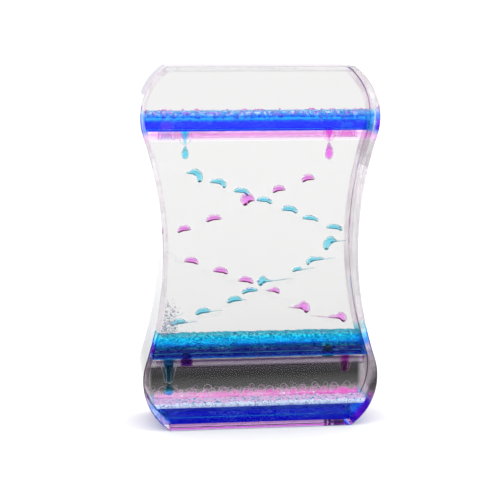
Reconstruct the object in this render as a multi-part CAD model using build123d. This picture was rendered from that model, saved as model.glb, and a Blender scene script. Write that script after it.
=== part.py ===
"""A liquid motion timer: two coloured liquids drip through clear oil and run down stair ramps.

The tank is an hourglass outline cut in clear acrylic. An upright partition splits it into a front
lane for the cyan liquid and a back lane for the pink one. In each lane two dividers close off an
upper and a lower reservoir. Each divider holds a drip nozzle, which points into the middle chamber,
and a drain funnel, which points into the reservoir. Both stand on the side where the lane's drops
set off and arrive. Between the dividers two stair ramps carry the drops to the other side and back.

X runs to the right across the front, Y from front to back, Z up. The origin is the middle of the
flat base. Lengths are in millimetres and angles in degrees.
"""

import math
import os
from dataclasses import dataclass

from build123d import *

# Outline of the tank
height = 130.0
bulge_width = 85.0
waist_draw = 7.5  # how far the waist lies inside the bulges, on each side
shoulder_radius = 21.8  # of the rounded bulges
shoulder_turn = 55.7  # degrees, from the widest place of a bulge round to the flat end
depth = 30.0

# Clear sheet that the tank is built from
panel_thickness = 2.0
wall_thickness = 2.0
end_thickness = 2.0
partition_thickness = 1.5
edge_break = 0.35

# Dividers between the middle chamber and the reservoirs
divider_thickness = 3.2
reservoir_height = 20.7

# Drip nozzles, where a pendant drop forms
nozzle_wall_gap = 10.2  # from its side to the wall
nozzle_radius = 2.2
nozzle_inlet_radius = 1.8
nozzle_tip_radius = 0.95
nozzle_bore_radius = 0.45
nozzle_length = 1.6

# Drain funnels, which stand clear of the pool in the reservoir
drain_wall_gap = 4.0  # from its side to the wall
drain_radius = 2.9
drain_inlet_radius = 2.3
drain_tip_radius = 1.4
drain_bore_radius = 0.9
drain_length = 6.0

# Filling plugs in the base, one for each lane
plug_edge_gap = 1.8  # to the corner of the flat base
plug_radius = 3.0
plug_recess = 0.2

# Stair ramps
tread_count = 7
tread_tilt = 6.7  # degrees
ramp_thickness = 0.8
wall_landing = 3.9  # the short first step of a lower ramp, which meets the wall
upper_ramp_lead = 4.7  # how far an upper ramp starts outside its nozzle
upper_ramp_end_gap = 3.0  # from its low end to the wall at the waist
front_upper_ramp_fall = 11.5  # from the upper divider down to the ramp's high end
back_upper_ramp_fall = 12.1
front_lower_ramp_rise = 41.3  # from the lower divider up to the ramp's high end
back_lower_ramp_rise = 36.3
front_upper_riser = 2.4
back_upper_riser = 2.5
front_lower_riser = 2.7
back_lower_riser = 2.6
front_landing_riser = 5.8  # from the landing at the wall down to the first tread
back_landing_riser = 2.6
front_spill = 2.3  # height of the first drop above its tread, as it falls off the landing

# Liquids
liquid_film = 0.05  # between a liquid and the sheet that holds it
glue_film = 0.05  # round a nozzle, a drain or a plug in its hole
cyan_upper_pool_depth = 5.7
pink_upper_pool_depth = 3.2
cyan_middle_pool_depth = 4.9
pink_middle_pool_depth = 2.2
cyan_lower_pool_depth = 6.2
pink_lower_pool_depth = 6.2
cyan_upper_froth_height = 1.2
pink_upper_froth_height = 3.2
cyan_middle_froth_height = 3.2
pink_middle_froth_height = 1.2
cyan_lower_froth_height = 1.4

# Drops
drop_radius = 2.7
drop_height = 2.4
drop_film = 0.15  # of oil, between a drop and its tread
drop_travel = 2.5  # along a tread, as in the joints
neck_radius = 0.4  # of a hanging drop
neck_film = 0.3  # between a hanging drop and the tip above it
cyan_pendant_radius = 1.3
cyan_pendant_length = 5.0
pink_pendant_radius = 1.6
pink_pendant_length = 6.5
drain_drop_radius = 1.9
drain_drop_length = 4.7
oil_clearance = 0.3  # round whatever moves

# Places of the drops along each ramp, counted in treads from its first tread's high end.
# A drop less than overhang_share into a tread still hangs over the nose of the one above.
overhang_share = 0.2
front_upper_drop_shares = (0.93, 1.86, 2.81, 3.75, 4.79, 5.66, 6.66)
front_lower_drop_shares = (0.41, 1.02, 1.76, 3.11, 3.73, 4.36, 5.66, 6.67)
back_upper_drop_shares = (1.41, 2.64, 3.91, 5.36, 6.59)
back_lower_drop_shares = (0.59, 1.81, 2.87, 4.02, 5.36, 6.73)

# Bubbles
large_bubble_radii = (1.5, 1.0, 1.3, 0.8, 1.2, 0.9)
bubble_spacing = 0.15
bubble_row_shares = (0.3, 0.72)  # of the lane's depth
wall_bubble_radii = (0.6, 0.45, 0.55, 0.35)
wall_bubble_columns = 2
wall_bubble_rows = 8
wall_bubble_pitch = 1.4

# Worked out from the sizes above
mid_height = height / 2
shoulder_angle = math.radians(shoulder_turn)
bulge_drop = shoulder_radius * math.sin(shoulder_angle)  # from either end to the widest place
shoulder_x = bulge_width / 2 - shoulder_radius
flat_half = shoulder_x + shoulder_radius * math.cos(shoulder_angle)
waist_half = bulge_width / 2 - waist_draw
waist_to_shoulder_x = waist_half - shoulder_x
waist_to_shoulder_z = mid_height - bulge_drop
waist_radius = (
    waist_to_shoulder_x**2 + waist_to_shoulder_z**2 - shoulder_radius**2
) / (2 * waist_draw)
waist_centre_x = waist_half + waist_radius
lane_depth = (depth - 2 * panel_thickness - partition_thickness) / 2
inner_y = depth / 2 - panel_thickness
lower_divider_base = end_thickness + reservoir_height
lower_divider_top = lower_divider_base + divider_thickness
upper_divider_base = height - lower_divider_top
upper_divider_top = height - lower_divider_base
wide = 2 * bulge_width  # past both sides of the tank


def half_width(z: float, inset: float) -> float:
    """Half the tank's width at a height, drawn in by inset."""
    from_middle = abs(z - mid_height)
    reach = math.hypot(waist_centre_x - shoulder_x, waist_to_shoulder_z)
    join_from_middle = waist_to_shoulder_z * (1 - shoulder_radius / reach)
    if from_middle < join_from_middle:
        return waist_centre_x - math.sqrt((waist_radius + inset) ** 2 - from_middle**2)
    from_bulge = from_middle - waist_to_shoulder_z
    return shoulder_x + math.sqrt((shoulder_radius - inset) ** 2 - from_bulge**2)


# Places of the fittings and the length of a tread, worked out from the outline
nozzle_x = half_width(upper_divider_base, wall_thickness) - nozzle_wall_gap - nozzle_radius
drain_x = half_width(upper_divider_top, wall_thickness) - drain_wall_gap - drain_radius
plug_x = flat_half - plug_edge_gap - plug_radius
upper_ramp_start_x = nozzle_x + upper_ramp_lead
upper_ramp_end_x = waist_half - wall_thickness - upper_ramp_end_gap
tread_length = (upper_ramp_start_x + upper_ramp_end_x) / tread_count
tread_slope = math.tan(math.radians(tread_tilt))
tread_fall = tread_length * tread_slope
landing_fall = wall_landing * tread_slope


@dataclass(frozen=True)
class Lane:
    """One of the two liquid lanes. The drops set off towards hand: +1 for +X, -1 for -X."""

    name: str
    dye: str
    hand: int
    near_y: float
    far_y: float

    @property
    def middle_y(self) -> float:
        return (self.near_y + self.far_y) / 2


@dataclass(frozen=True)
class Ramp:
    """A stair of tilted treads that falls towards heading, from its high end at start."""

    lane: Lane
    level: str
    start_x: float
    start_z: float
    heading: int
    landing: float
    landing_riser: float
    riser: float
    drop_shares: tuple
    spill: float = 0

    def steps(self) -> list:
        """Run, height and length of each step, where the run is counted from the high end."""
        steps = [(0.0, self.start_z, self.landing)] if self.landing else []
        first_z = self.start_z - (landing_fall + self.landing_riser if self.landing else 0)
        for number in range(tread_count):
            run = self.landing + number * tread_length
            steps.append((run, first_z - number * (tread_fall + self.riser), tread_length))
        return steps


@dataclass(frozen=True)
class Spout:
    """A turned fitting: a plug with a funnel in it and a tapered tip that stands out of the divider."""

    radius: float
    inlet_radius: float
    tip_radius: float
    bore_radius: float
    length: float


front_lane = Lane("front", "cyan", 1, -inner_y, -partition_thickness / 2)
back_lane = Lane("back", "pink", -1, partition_thickness / 2, inner_y)
lanes = (front_lane, back_lane)
nozzle = Spout(
    nozzle_radius,
    nozzle_inlet_radius,
    nozzle_tip_radius,
    nozzle_bore_radius,
    nozzle_length,
)
drain = Spout(
    drain_radius,
    drain_inlet_radius,
    drain_tip_radius,
    drain_bore_radius,
    drain_length,
)


def outline(inset: float, end_inset: float):
    """The hourglass face, drawn in by inset at the sides and by end_inset at the top and the base."""
    radius = shoulder_radius - inset
    reach = math.hypot(waist_centre_x - shoulder_x, waist_to_shoulder_z)
    join_x = shoulder_x + radius * (waist_centre_x - shoulder_x) / reach
    join_z = bulge_drop + radius * waist_to_shoulder_z / reach
    corner_x = shoulder_x + math.sqrt(radius**2 - (bulge_drop - end_inset) ** 2)
    apex_x = shoulder_x + radius
    low_z, high_z = end_inset, height - end_inset
    side = Curve() + [
        ThreePointArc((corner_x, low_z), (apex_x, bulge_drop), (join_x, join_z)),
        ThreePointArc(
            (join_x, join_z), (waist_half - inset, mid_height), (join_x, height - join_z)
        ),
        ThreePointArc((join_x, height - join_z), (apex_x, height - bulge_drop), (corner_x, high_z)),
    ]
    ends = [Line((-corner_x, z), (corner_x, z)) for z in (low_z, high_z)]
    return make_face(side + mirror(side, Plane.YZ) + ends)


def band(low_z: float, high_z: float):
    """A rectangle across the whole width between two heights."""
    return Pos(0, (low_z + high_z) / 2) * Rectangle(wide, high_z - low_z)


def slab(face, near_y: float, far_y: float):
    """A face drawn in X and Z, thickened from near_y back to far_y."""
    return extrude(Plane.XZ.offset(-far_y) * face, amount=far_y - near_y)


def upright_cylinder(x: float, y: float, low_z: float, high_z: float, radius: float):
    return Pos(x, y, (low_z + high_z) / 2) * Cylinder(radius, high_z - low_z)


def turned(points: list):
    """A closed profile of radii and heights, turned about the upright axis."""
    return revolve(Plane.XZ * make_face(Polyline(*points, close=True)), Axis.Z)


def spout_solid(spout: Spout):
    """The fitting itself, standing on its inlet face with its tip up."""
    tip_z = divider_thickness + spout.length
    return turned(
        [
            (spout.inlet_radius, 0),
            (spout.radius, 0),
            (spout.radius, divider_thickness),
            (spout.tip_radius, tip_z),
            (spout.bore_radius, tip_z),
            (spout.bore_radius, divider_thickness),
        ]
    )


def spout_space(spout: Spout, clearance: float):
    """The room that the fitting's tip takes up above its divider, with clearance round it."""
    tip_z = divider_thickness + spout.length + clearance
    return turned(
        [
            (0, divider_thickness - clearance),
            (spout.radius + clearance, divider_thickness - clearance),
            (spout.radius + clearance, divider_thickness),
            (spout.tip_radius + 2 * clearance, tip_z),
            (0, tip_z),
        ]
    )


def spout_core(spout: Spout):
    """The liquid that fills the fitting's funnel and bore."""
    tip_z = divider_thickness + spout.length - liquid_film
    return turned(
        [
            (0, -2 * liquid_film),
            (spout.inlet_radius - liquid_film, -2 * liquid_film),
            (spout.inlet_radius - liquid_film, 0),
            (spout.bore_radius - liquid_film, divider_thickness),
            (spout.bore_radius - liquid_film, tip_z),
            (0, tip_z),
        ]
    )


def nozzle_place(lane: Lane, level: str):
    """Where a lane's drip nozzle stands: its tip points into the middle chamber."""
    x = -lane.hand * nozzle_x
    if level == "upper":
        return Pos(x, lane.middle_y, upper_divider_top) * Rot(180, 0, 0)
    return Pos(x, lane.middle_y, lower_divider_base)


def drain_place(lane: Lane, level: str):
    """Where a lane's drain funnel stands: its tip points into the reservoir."""
    x = -lane.hand * drain_x
    if level == "upper":
        return Pos(x, lane.middle_y, upper_divider_base)
    return Pos(x, lane.middle_y, lower_divider_top) * Rot(180, 0, 0)


def panel(near_y: float, outer_y: float):
    """A flat panel of the full outline, with its outer edge broken."""
    sheet = slab(outline(0, 0), near_y, near_y + panel_thickness)
    outer_face = sheet.faces().sort_by_distance((0, outer_y, mid_height))[0]
    return chamfer(outer_face.edges(), edge_break)


def side_wall(hand: int):
    """The bent strip at one side, between the panels and between the end plates."""
    strip = outline(0, 0) - outline(wall_thickness, 0)
    tall = height - 2 * end_thickness
    side = Pos(hand * bulge_width / 2, mid_height) * Rectangle(bulge_width, tall)
    return slab(strip & side, -inner_y, inner_y)


def end_plate(low_z: float):
    return slab(outline(0, 0) & band(low_z, low_z + end_thickness), -inner_y, inner_y)


def bottom_plate():
    """The base plate, with a filling hole for each lane."""
    plate = end_plate(0)
    hole_radius = plug_radius + glue_film
    for lane in lanes:
        plate -= upright_cylinder(
            plug_x, lane.middle_y, -end_thickness, 2 * end_thickness, hole_radius
        )
    return plate


def fill_plug(lane: Lane):
    return upright_cylinder(plug_x, lane.middle_y, plug_recess, end_thickness, plug_radius)


def lane_partition():
    face = outline(wall_thickness, end_thickness)
    return slab(face, -partition_thickness / 2, partition_thickness / 2)


def divider(lane: Lane, level: str):
    """A divider in one lane, with a hole for its nozzle and a hole for its drain."""
    low_z = upper_divider_base if level == "upper" else lower_divider_base
    face = outline(wall_thickness, end_thickness) & band(low_z, low_z + divider_thickness)
    sheet = slab(face, lane.near_y, lane.far_y)
    hole_low_z, hole_high_z = low_z - divider_thickness, low_z + 2 * divider_thickness
    for x, radius in ((nozzle_x, nozzle_radius), (drain_x, drain_radius)):
        sheet -= upright_cylinder(
            -lane.hand * x, lane.middle_y, hole_low_z, hole_high_z, radius + glue_film
        )
    return sheet


def stair_face(ramp: Ramp, below: float, above: float, beyond: float, overhang: float):
    """The stair's side view, from below its treads to above them, run on by beyond at both ends.

    Above the treads each step reaches past its nose by overhang.
    """
    steps = ramp.steps()
    top, underside = [], []
    for number, (run, z, length) in enumerate(steps):
        first, last = number == 0, number == len(steps) - 1
        top_from = -beyond if first else overhang
        under_from = -beyond if first else -below
        top_to = length + (beyond if last else overhang)
        under_to = length + (beyond if last else -below)
        top += [(run + at, z + above - tread_slope * at) for at in (top_from, top_to)]
        underside += [(run + at, z - below - tread_slope * at) for at in (under_from, under_to)]
    points = [(ramp.start_x + ramp.heading * run, z) for run, z in top + underside[::-1]]
    return make_face(Polyline(*points, close=True))


def stair_ramp(ramp: Ramp):
    return slab(stair_face(ramp, ramp_thickness, 0, 0, 0), ramp.lane.near_y, ramp.lane.far_y)


def drop_channel(ramp: Ramp):
    """The space round a ramp that its drops run in, with the ramp itself."""
    hanging_share = max(overhang_share, ramp.drop_shares[0] if ramp.spill else 0)
    overhang = hanging_share * tread_length + drop_radius + drop_travel + oil_clearance
    headroom = drop_film + drop_height + oil_clearance
    face = stair_face(ramp, ramp_thickness + liquid_film, headroom, overhang, overhang)
    return slab(face, ramp.lane.near_y, ramp.lane.far_y)


def domed_drop():
    """A drop lying on a tread: half an ellipsoid on its flat side."""
    rim = CenterArc((0, 0), drop_radius, 0, 90)
    face = make_face(rim + Polyline((0, drop_radius), (0, 0), (drop_radius, 0)))
    dome = revolve(Plane.XZ * face, Axis.Z)
    return scale(dome, by=(1, 1, drop_height / drop_radius))


def rolling_drops(ramp: Ramp):
    """The drops on one ramp, each flat on its tread with oil below it and clear of its riser.

    Where a ramp has a spill, its first drop is still in the air above its tread.
    """
    treads = ramp.steps()[-tread_count:]
    drops = []
    for order, share in enumerate(ramp.drop_shares):
        number = math.floor(share - overhang_share)
        run, z, length = treads[number]
        along = max((share - number) * length, drop_radius + drop_film)
        x = ramp.start_x + ramp.heading * (run + along)
        lift = drop_film if order else drop_film + ramp.spill
        place = Pos(x, ramp.lane.middle_y, z - tread_slope * along + lift)
        drops.append(place * Rot(0, ramp.heading * tread_tilt, 0) * domed_drop())
    return Compound(children=drops)


def hanging_drop(x: float, y: float, top_z: float, radius: float, length: float):
    """A drop on its neck: a ball with a cone that narrows up to the neck."""
    ball_z = top_z - length + radius
    lean = math.asin((radius - neck_radius) / (length - radius))
    shoulder = (radius * math.cos(lean), ball_z + radius * math.sin(lean))
    foot = (0, ball_z - radius)
    ball = ThreePointArc(shoulder, (radius, ball_z), foot)
    neck = Polyline(foot, (0, top_z), (neck_radius, top_z), shoulder)
    return Pos(x, y, 0) * revolve(Plane.XZ * make_face(ball + neck), Axis.Z)


def chamber(lane: Lane, low_z: float, high_z: float, film: float):
    """The space of one lane between two heights, kept off the sheets round it by film."""
    face = outline(wall_thickness + film, end_thickness) & band(low_z, high_z)
    return slab(face, lane.near_y + film, lane.far_y - film)


def upper_pool(lane: Lane, pool_depth: float):
    """The liquid on the upper divider, with the part of it that fills the drip nozzle."""
    low_z = upper_divider_top
    pool = chamber(lane, low_z + liquid_film, low_z + pool_depth, liquid_film)
    pool -= drain_place(lane, "upper") * spout_space(drain, liquid_film)
    return pool + nozzle_place(lane, "upper") * spout_core(nozzle)


def middle_pool(lane: Lane, pool_depth: float):
    """The liquid on the lower divider, with the part of it that fills the drain funnel."""
    low_z = lower_divider_top
    pool = chamber(lane, low_z + liquid_film, low_z + pool_depth, liquid_film)
    pool -= nozzle_place(lane, "lower") * spout_space(nozzle, liquid_film)
    return pool + drain_place(lane, "lower") * spout_core(drain)


def lower_pool(lane: Lane, pool_depth: float):
    return chamber(lane, end_thickness + liquid_film, end_thickness + pool_depth, liquid_film)


def froth(lane: Lane, level_z: float, froth_height: float):
    """A layer of fine bubbles that floats on a pool."""
    return chamber(lane, level_z + liquid_film, level_z + froth_height, liquid_film)


def upper_froth(lane: Lane, pool_depth: float, froth_height: float):
    """The froth on an upper pool, clear of the drain's tip that stands in it."""
    layer = froth(lane, upper_divider_top + pool_depth, froth_height)
    return layer - drain_place(lane, "upper") * spout_space(drain, liquid_film)


def bubble_raft(lane: Lane, level_z: float):
    """Rows of large bubbles that float on a pool, from wall to wall."""
    largest = max(large_bubble_radii)
    reach = half_width(level_z, wall_thickness) - largest - bubble_spacing
    bubbles = []
    for row, row_share in enumerate(bubble_row_shares):
        y = lane.near_y + row_share * lane_depth
        x = -reach
        number = row
        while x < reach:
            radius = large_bubble_radii[number % len(large_bubble_radii)]
            bubbles.append(Pos(x, y, level_z + bubble_spacing + radius) * Sphere(radius))
            number += 1
            x += radius + bubble_spacing + large_bubble_radii[number % len(large_bubble_radii)]
    return Compound(children=bubbles)


def wall_bubble_low_z() -> float:
    froth_top_z = lower_divider_top + cyan_middle_pool_depth + cyan_middle_froth_height
    return froth_top_z + wall_bubble_pitch


def wall_bubbles(lane: Lane):
    """Small bubbles that cling to the left wall, just above the froth."""
    largest = max(wall_bubble_radii)
    bubbles = []
    for row in range(wall_bubble_rows):
        z = wall_bubble_low_z() + row * wall_bubble_pitch
        for column in range(wall_bubble_columns):
            radius = wall_bubble_radii[(row + column) % len(wall_bubble_radii)]
            inward = bubble_spacing + largest + column * wall_bubble_pitch
            x = -(half_width(z, wall_thickness) - inward)
            y = lane.near_y + bubble_spacing + radius
            bubbles.append(Pos(x, y, z) * Sphere(radius))
    return Compound(children=bubbles)


def wall_bubble_space(lane: Lane):
    """The room that the clinging bubbles take up beside the wall and the front panel."""
    across = 2 * bubble_spacing + wall_bubble_columns * wall_bubble_pitch
    deep = 2 * (bubble_spacing + max(wall_bubble_radii))
    low_z = wall_bubble_low_z() - wall_bubble_pitch
    high_z = wall_bubble_low_z() + wall_bubble_rows * wall_bubble_pitch
    centre = Pos(-half_width(high_z, wall_thickness), (low_z + high_z) / 2)
    return slab(centre * Rectangle(2 * across, high_z - low_z), lane.near_y, lane.near_y + deep)


def fall_space(x: float, y: float, low_z: float, high_z: float, radius: float):
    """The upright room that a hanging drop falls through."""
    return upright_cylinder(x, y, low_z, high_z, radius + oil_clearance)


def upper_oil(lane: Lane, low_z: float):
    """The oil over an upper pool's froth, up to the top plate."""
    high_z = height - end_thickness - liquid_film
    oil = chamber(lane, low_z + liquid_film, high_z, liquid_film)
    return oil - drain_place(lane, "upper") * spout_space(drain, liquid_film)


def middle_oil(lane: Lane, low_z: float, ramps: list, pendant_radius: float):
    """The oil between the dividers, less the ramps and the room that the drops move in."""
    high_z = upper_divider_base - liquid_film
    oil = chamber(lane, low_z + liquid_film, high_z, liquid_film)
    oil -= nozzle_place(lane, "upper") * spout_space(nozzle, liquid_film)
    for ramp in ramps:
        oil -= drop_channel(ramp)
    pendant_x = -lane.hand * nozzle_x
    return oil - fall_space(pendant_x, lane.middle_y, ramps[0].start_z, high_z, pendant_radius)


def lower_oil(lane: Lane, low_z: float):
    """The oil under the lower divider, less the drain's tip."""
    oil = chamber(lane, low_z + liquid_film, lower_divider_base - liquid_film, liquid_film)
    return oil - drain_place(lane, "lower") * spout_space(drain, liquid_film)


def front_ramps() -> list:
    """The two ramps of the cyan drops."""
    return lane_ramps(
        front_lane,
        (front_upper_ramp_fall, front_upper_riser, front_upper_drop_shares),
        (front_lower_ramp_rise, front_lower_riser, front_lower_drop_shares),
        front_landing_riser,
        front_spill,
    )


def back_ramps() -> list:
    """The two ramps of the pink drops."""
    return lane_ramps(
        back_lane,
        (back_upper_ramp_fall, back_upper_riser, back_upper_drop_shares),
        (back_lower_ramp_rise, back_lower_riser, back_lower_drop_shares),
        back_landing_riser,
    )


def lane_ramps(lane: Lane, upper: tuple, lower: tuple, landing_riser: float, spill=0) -> list:
    """A lane's ramps, each from its height, riser and drops.

    The upper ramp starts outside the nozzle, and the lower one at the wall where the upper one ends.
    """
    fall, upper_riser, upper_drops = upper
    rise, lower_riser, lower_drops = lower
    upper_x = -lane.hand * upper_ramp_start_x
    upper_z = upper_divider_base - fall
    lower_z = lower_divider_top + rise
    lower_x = lane.hand * (half_width(lower_z, wall_thickness) - liquid_film)
    upper_ramp = Ramp(lane, "upper", upper_x, upper_z, lane.hand, 0, 0, upper_riser, upper_drops)
    lower_ramp = Ramp(
        lane,
        "lower",
        lower_x,
        lower_z,
        -lane.hand,
        wall_landing,
        landing_riser,
        lower_riser,
        lower_drops,
        spill,
    )
    return [upper_ramp, lower_ramp]


def tank_pieces() -> dict:
    """The sheets that make the tank, with the plugs that close it."""
    return {
        "front_panel": panel(-depth / 2, -depth / 2),
        "back_panel": panel(inner_y, depth / 2),
        "left_wall": side_wall(-1),
        "right_wall": side_wall(1),
        "top_plate": end_plate(height - end_thickness),
        "bottom_plate": bottom_plate(),
        "lane_partition": lane_partition(),
        "front_fill_plug": fill_plug(front_lane),
        "back_fill_plug": fill_plug(back_lane),
    }


def fitting_pieces() -> dict:
    """The dividers of both lanes, with their nozzles and drains."""
    pieces = {}
    for lane in lanes:
        for level in ("upper", "lower"):
            start = f"{lane.name}_{level}"
            pieces[f"{start}_divider"] = divider(lane, level)
            pieces[f"{start}_drip_nozzle"] = nozzle_place(lane, level) * spout_solid(nozzle)
            pieces[f"{start}_drain_funnel"] = drain_place(lane, level) * spout_solid(drain)
    return pieces


def ramp_pieces(ramps: list) -> dict:
    """The stair ramps, and the drops that run down each."""
    pieces = {}
    for ramp in ramps:
        pieces[f"{ramp.lane.name}_{ramp.level}_ramp"] = stair_ramp(ramp)
        pieces[f"{ramp.lane.dye}_{ramp.level}_drops"] = rolling_drops(ramp)
    return pieces


def hanging_pieces() -> dict:
    """The drop under each upper nozzle, and the one that leaves the front lane's lower drain."""
    nozzle_z = upper_divider_base - nozzle_length - neck_film
    drain_z = lower_divider_base - drain_length - neck_film
    front_y, back_y = front_lane.middle_y, back_lane.middle_y
    return {
        "cyan_pendant_drop": hanging_drop(
            -nozzle_x, front_y, nozzle_z, cyan_pendant_radius, cyan_pendant_length
        ),
        "pink_pendant_drop": hanging_drop(
            nozzle_x, back_y, nozzle_z, pink_pendant_radius, pink_pendant_length
        ),
        "cyan_drain_drop": hanging_drop(
            -drain_x, front_y, drain_z, drain_drop_radius, drain_drop_length
        ),
    }


def cyan_pieces() -> dict:
    """The front lane's pools, the froth and bubbles on them, and the oil above them."""
    upper_top_z = upper_divider_top + cyan_upper_pool_depth + cyan_upper_froth_height
    middle_z = lower_divider_top + cyan_middle_pool_depth
    lower_z = end_thickness + cyan_lower_pool_depth
    middle = middle_oil(
        front_lane, middle_z + cyan_middle_froth_height, front_ramps(), cyan_pendant_radius
    )
    lower = lower_oil(front_lane, lower_z + cyan_lower_froth_height)
    drop_space = fall_space(
        -drain_x, front_lane.middle_y, lower_z, lower_divider_base, drain_drop_radius
    )
    return {
        "cyan_upper_pool": upper_pool(front_lane, cyan_upper_pool_depth),
        "cyan_middle_pool": middle_pool(front_lane, cyan_middle_pool_depth),
        "cyan_lower_pool": lower_pool(front_lane, cyan_lower_pool_depth),
        "cyan_upper_froth": upper_froth(
            front_lane, cyan_upper_pool_depth, cyan_upper_froth_height
        ),
        "cyan_middle_froth": froth(front_lane, middle_z, cyan_middle_froth_height),
        "cyan_lower_froth": froth(front_lane, lower_z, cyan_lower_froth_height),
        "clinging_bubbles": wall_bubbles(front_lane),
        "front_upper_oil": upper_oil(front_lane, upper_top_z),
        "front_middle_oil": middle - wall_bubble_space(front_lane),
        "front_lower_oil": lower - drop_space,
    }


def pink_pieces() -> dict:
    """The back lane's pools, the froth and bubbles on them, and the oil above them."""
    upper_top_z = upper_divider_top + pink_upper_pool_depth + pink_upper_froth_height
    middle_z = lower_divider_top + pink_middle_pool_depth
    middle_top_z = middle_z + pink_middle_froth_height
    lower_z = end_thickness + pink_lower_pool_depth
    raft_top_z = lower_z + 2 * (bubble_spacing + max(large_bubble_radii))
    return {
        "pink_upper_pool": upper_pool(back_lane, pink_upper_pool_depth),
        "pink_middle_pool": middle_pool(back_lane, pink_middle_pool_depth),
        "pink_lower_pool": lower_pool(back_lane, pink_lower_pool_depth),
        "pink_upper_froth": upper_froth(
            back_lane, pink_upper_pool_depth, pink_upper_froth_height
        ),
        "pink_middle_froth": froth(back_lane, middle_z, pink_middle_froth_height),
        "pink_lower_bubbles": bubble_raft(back_lane, lower_z),
        "back_upper_oil": upper_oil(back_lane, upper_top_z),
        "back_middle_oil": middle_oil(
            back_lane, middle_top_z, back_ramps(), pink_pendant_radius
        ),
        "back_lower_oil": lower_oil(back_lane, raft_top_z),
    }


def main():
    """Builds every piece and writes each to its own file."""
    pieces = tank_pieces() | fitting_pieces() | ramp_pieces(front_ramps() + back_ramps())
    pieces |= hanging_pieces() | cyan_pieces() | pink_pieces()
    os.makedirs("parts", exist_ok=True)
    for name, piece in pieces.items():
        export_step(piece, os.path.join("parts", f"{name}.step"))


main()
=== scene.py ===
"""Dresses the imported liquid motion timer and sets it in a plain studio.

The sizes below are in millimetres and degrees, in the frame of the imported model: X to the right
across the front, Y from front to back, Z up from the flat base. Meshes are made in metres.

Light goes through the tank as through one clear block. The sheet and the oil bend it alike, so it
bends where air meets the sheet and where oil meets coloured water, and inner borders only tint it.
"""

import logging
import math
from dataclasses import dataclass
from enum import Enum
from random import Random

import bmesh
import bpy
import numpy as np
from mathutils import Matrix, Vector


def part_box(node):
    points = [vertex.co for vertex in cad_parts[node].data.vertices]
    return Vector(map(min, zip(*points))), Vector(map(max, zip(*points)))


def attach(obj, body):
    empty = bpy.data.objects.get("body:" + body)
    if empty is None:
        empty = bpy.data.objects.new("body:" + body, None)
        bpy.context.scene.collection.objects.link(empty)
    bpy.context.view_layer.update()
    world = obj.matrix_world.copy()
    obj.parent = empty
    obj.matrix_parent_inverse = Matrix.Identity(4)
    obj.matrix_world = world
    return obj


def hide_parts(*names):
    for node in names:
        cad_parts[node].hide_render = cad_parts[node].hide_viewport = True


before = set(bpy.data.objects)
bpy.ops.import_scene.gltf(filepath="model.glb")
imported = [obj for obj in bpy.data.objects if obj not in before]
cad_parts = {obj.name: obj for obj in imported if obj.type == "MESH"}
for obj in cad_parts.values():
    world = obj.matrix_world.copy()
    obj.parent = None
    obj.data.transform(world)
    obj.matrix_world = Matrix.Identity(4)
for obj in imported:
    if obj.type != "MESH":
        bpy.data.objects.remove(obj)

MM = 0.001
PICTURE_PIXELS = 500
SENSOR_WIDTH = 36.0

SHEET_IOR = 1.48
WATER_IOR = 0.905  # of coloured water against the oil round it
AIR_IOR = 0.68  # of an air bubble against the oil round it

Colour = tuple[float, float, float]
Span = tuple[float, float]
Stops = tuple[tuple[float, Colour], ...]
Profile = tuple[Span, ...]
Shell = tuple[np.ndarray, list]
Socket = bpy.types.NodeSocket
Material = bpy.types.Material
Piece = bpy.types.Object

log = logging.getLogger("liquid timer")


def grey(value: float) -> Colour:
    """A neutral colour."""
    return (value, value, value)


WHITE = grey(1.0)


# ---- sizes of the tank


@dataclass(frozen=True)
class Outline:
    """The hourglass outline of the tank, as the solids have it."""

    height: float = 130.0
    bulge_width: float = 85.0
    waist_draw: float = 7.5
    shoulder_radius: float = 21.8
    shoulder_turn: float = 55.7

    def half_width(self, z: float, inset: float) -> float:
        """Half the tank's width at a height.

        Args:
            z: height above the base.
            inset: how far to draw the outline in.

        Returns:
            The distance from the middle of the tank to the outline.
        """
        middle = self.height / 2
        shoulder_x = self.bulge_width / 2 - self.shoulder_radius
        rise = middle - self.shoulder_radius * math.sin(math.radians(self.shoulder_turn))
        waist_half = self.bulge_width / 2 - self.waist_draw
        run = waist_half - shoulder_x
        waist_radius = (run**2 + rise**2 - self.shoulder_radius**2) / (2 * self.waist_draw)
        centre_x = waist_half + waist_radius
        reach = math.hypot(centre_x - shoulder_x, rise)
        away = abs(z - middle)
        if away < rise * (1 - self.shoulder_radius / reach):
            return centre_x - math.sqrt((waist_radius + inset) ** 2 - away**2)
        return shoulder_x + math.sqrt((self.shoulder_radius - inset) ** 2 - (away - rise) ** 2)


@dataclass(frozen=True)
class Lane:
    """One of the two liquid lanes. Its drops set off towards hand: +1 for +X, -1 for -X."""

    name: str
    dye: str
    hand: int
    near_y: float
    far_y: float

    @property
    def middle_y(self) -> float:
        """The middle of the lane, from front to back."""
        return (self.near_y + self.far_y) / 2


OUTLINE = Outline()
FRONT = Lane("front", "cyan", 1, -13.0, -0.75)
BACK = Lane("back", "pink", -1, 0.75, 13.0)
WALL = 2.0
FILM = 0.05
NOZZLE_X = 26.56
DRAIN_X = 33.04
UPPER_DIVIDER = (104.1, 107.3)
LOWER_DIVIDER = (22.7, 25.9)
EDGE_PLANE = 12.9  # the faces beyond it, front or back, lie against a panel


# ---- node graphs


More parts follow.
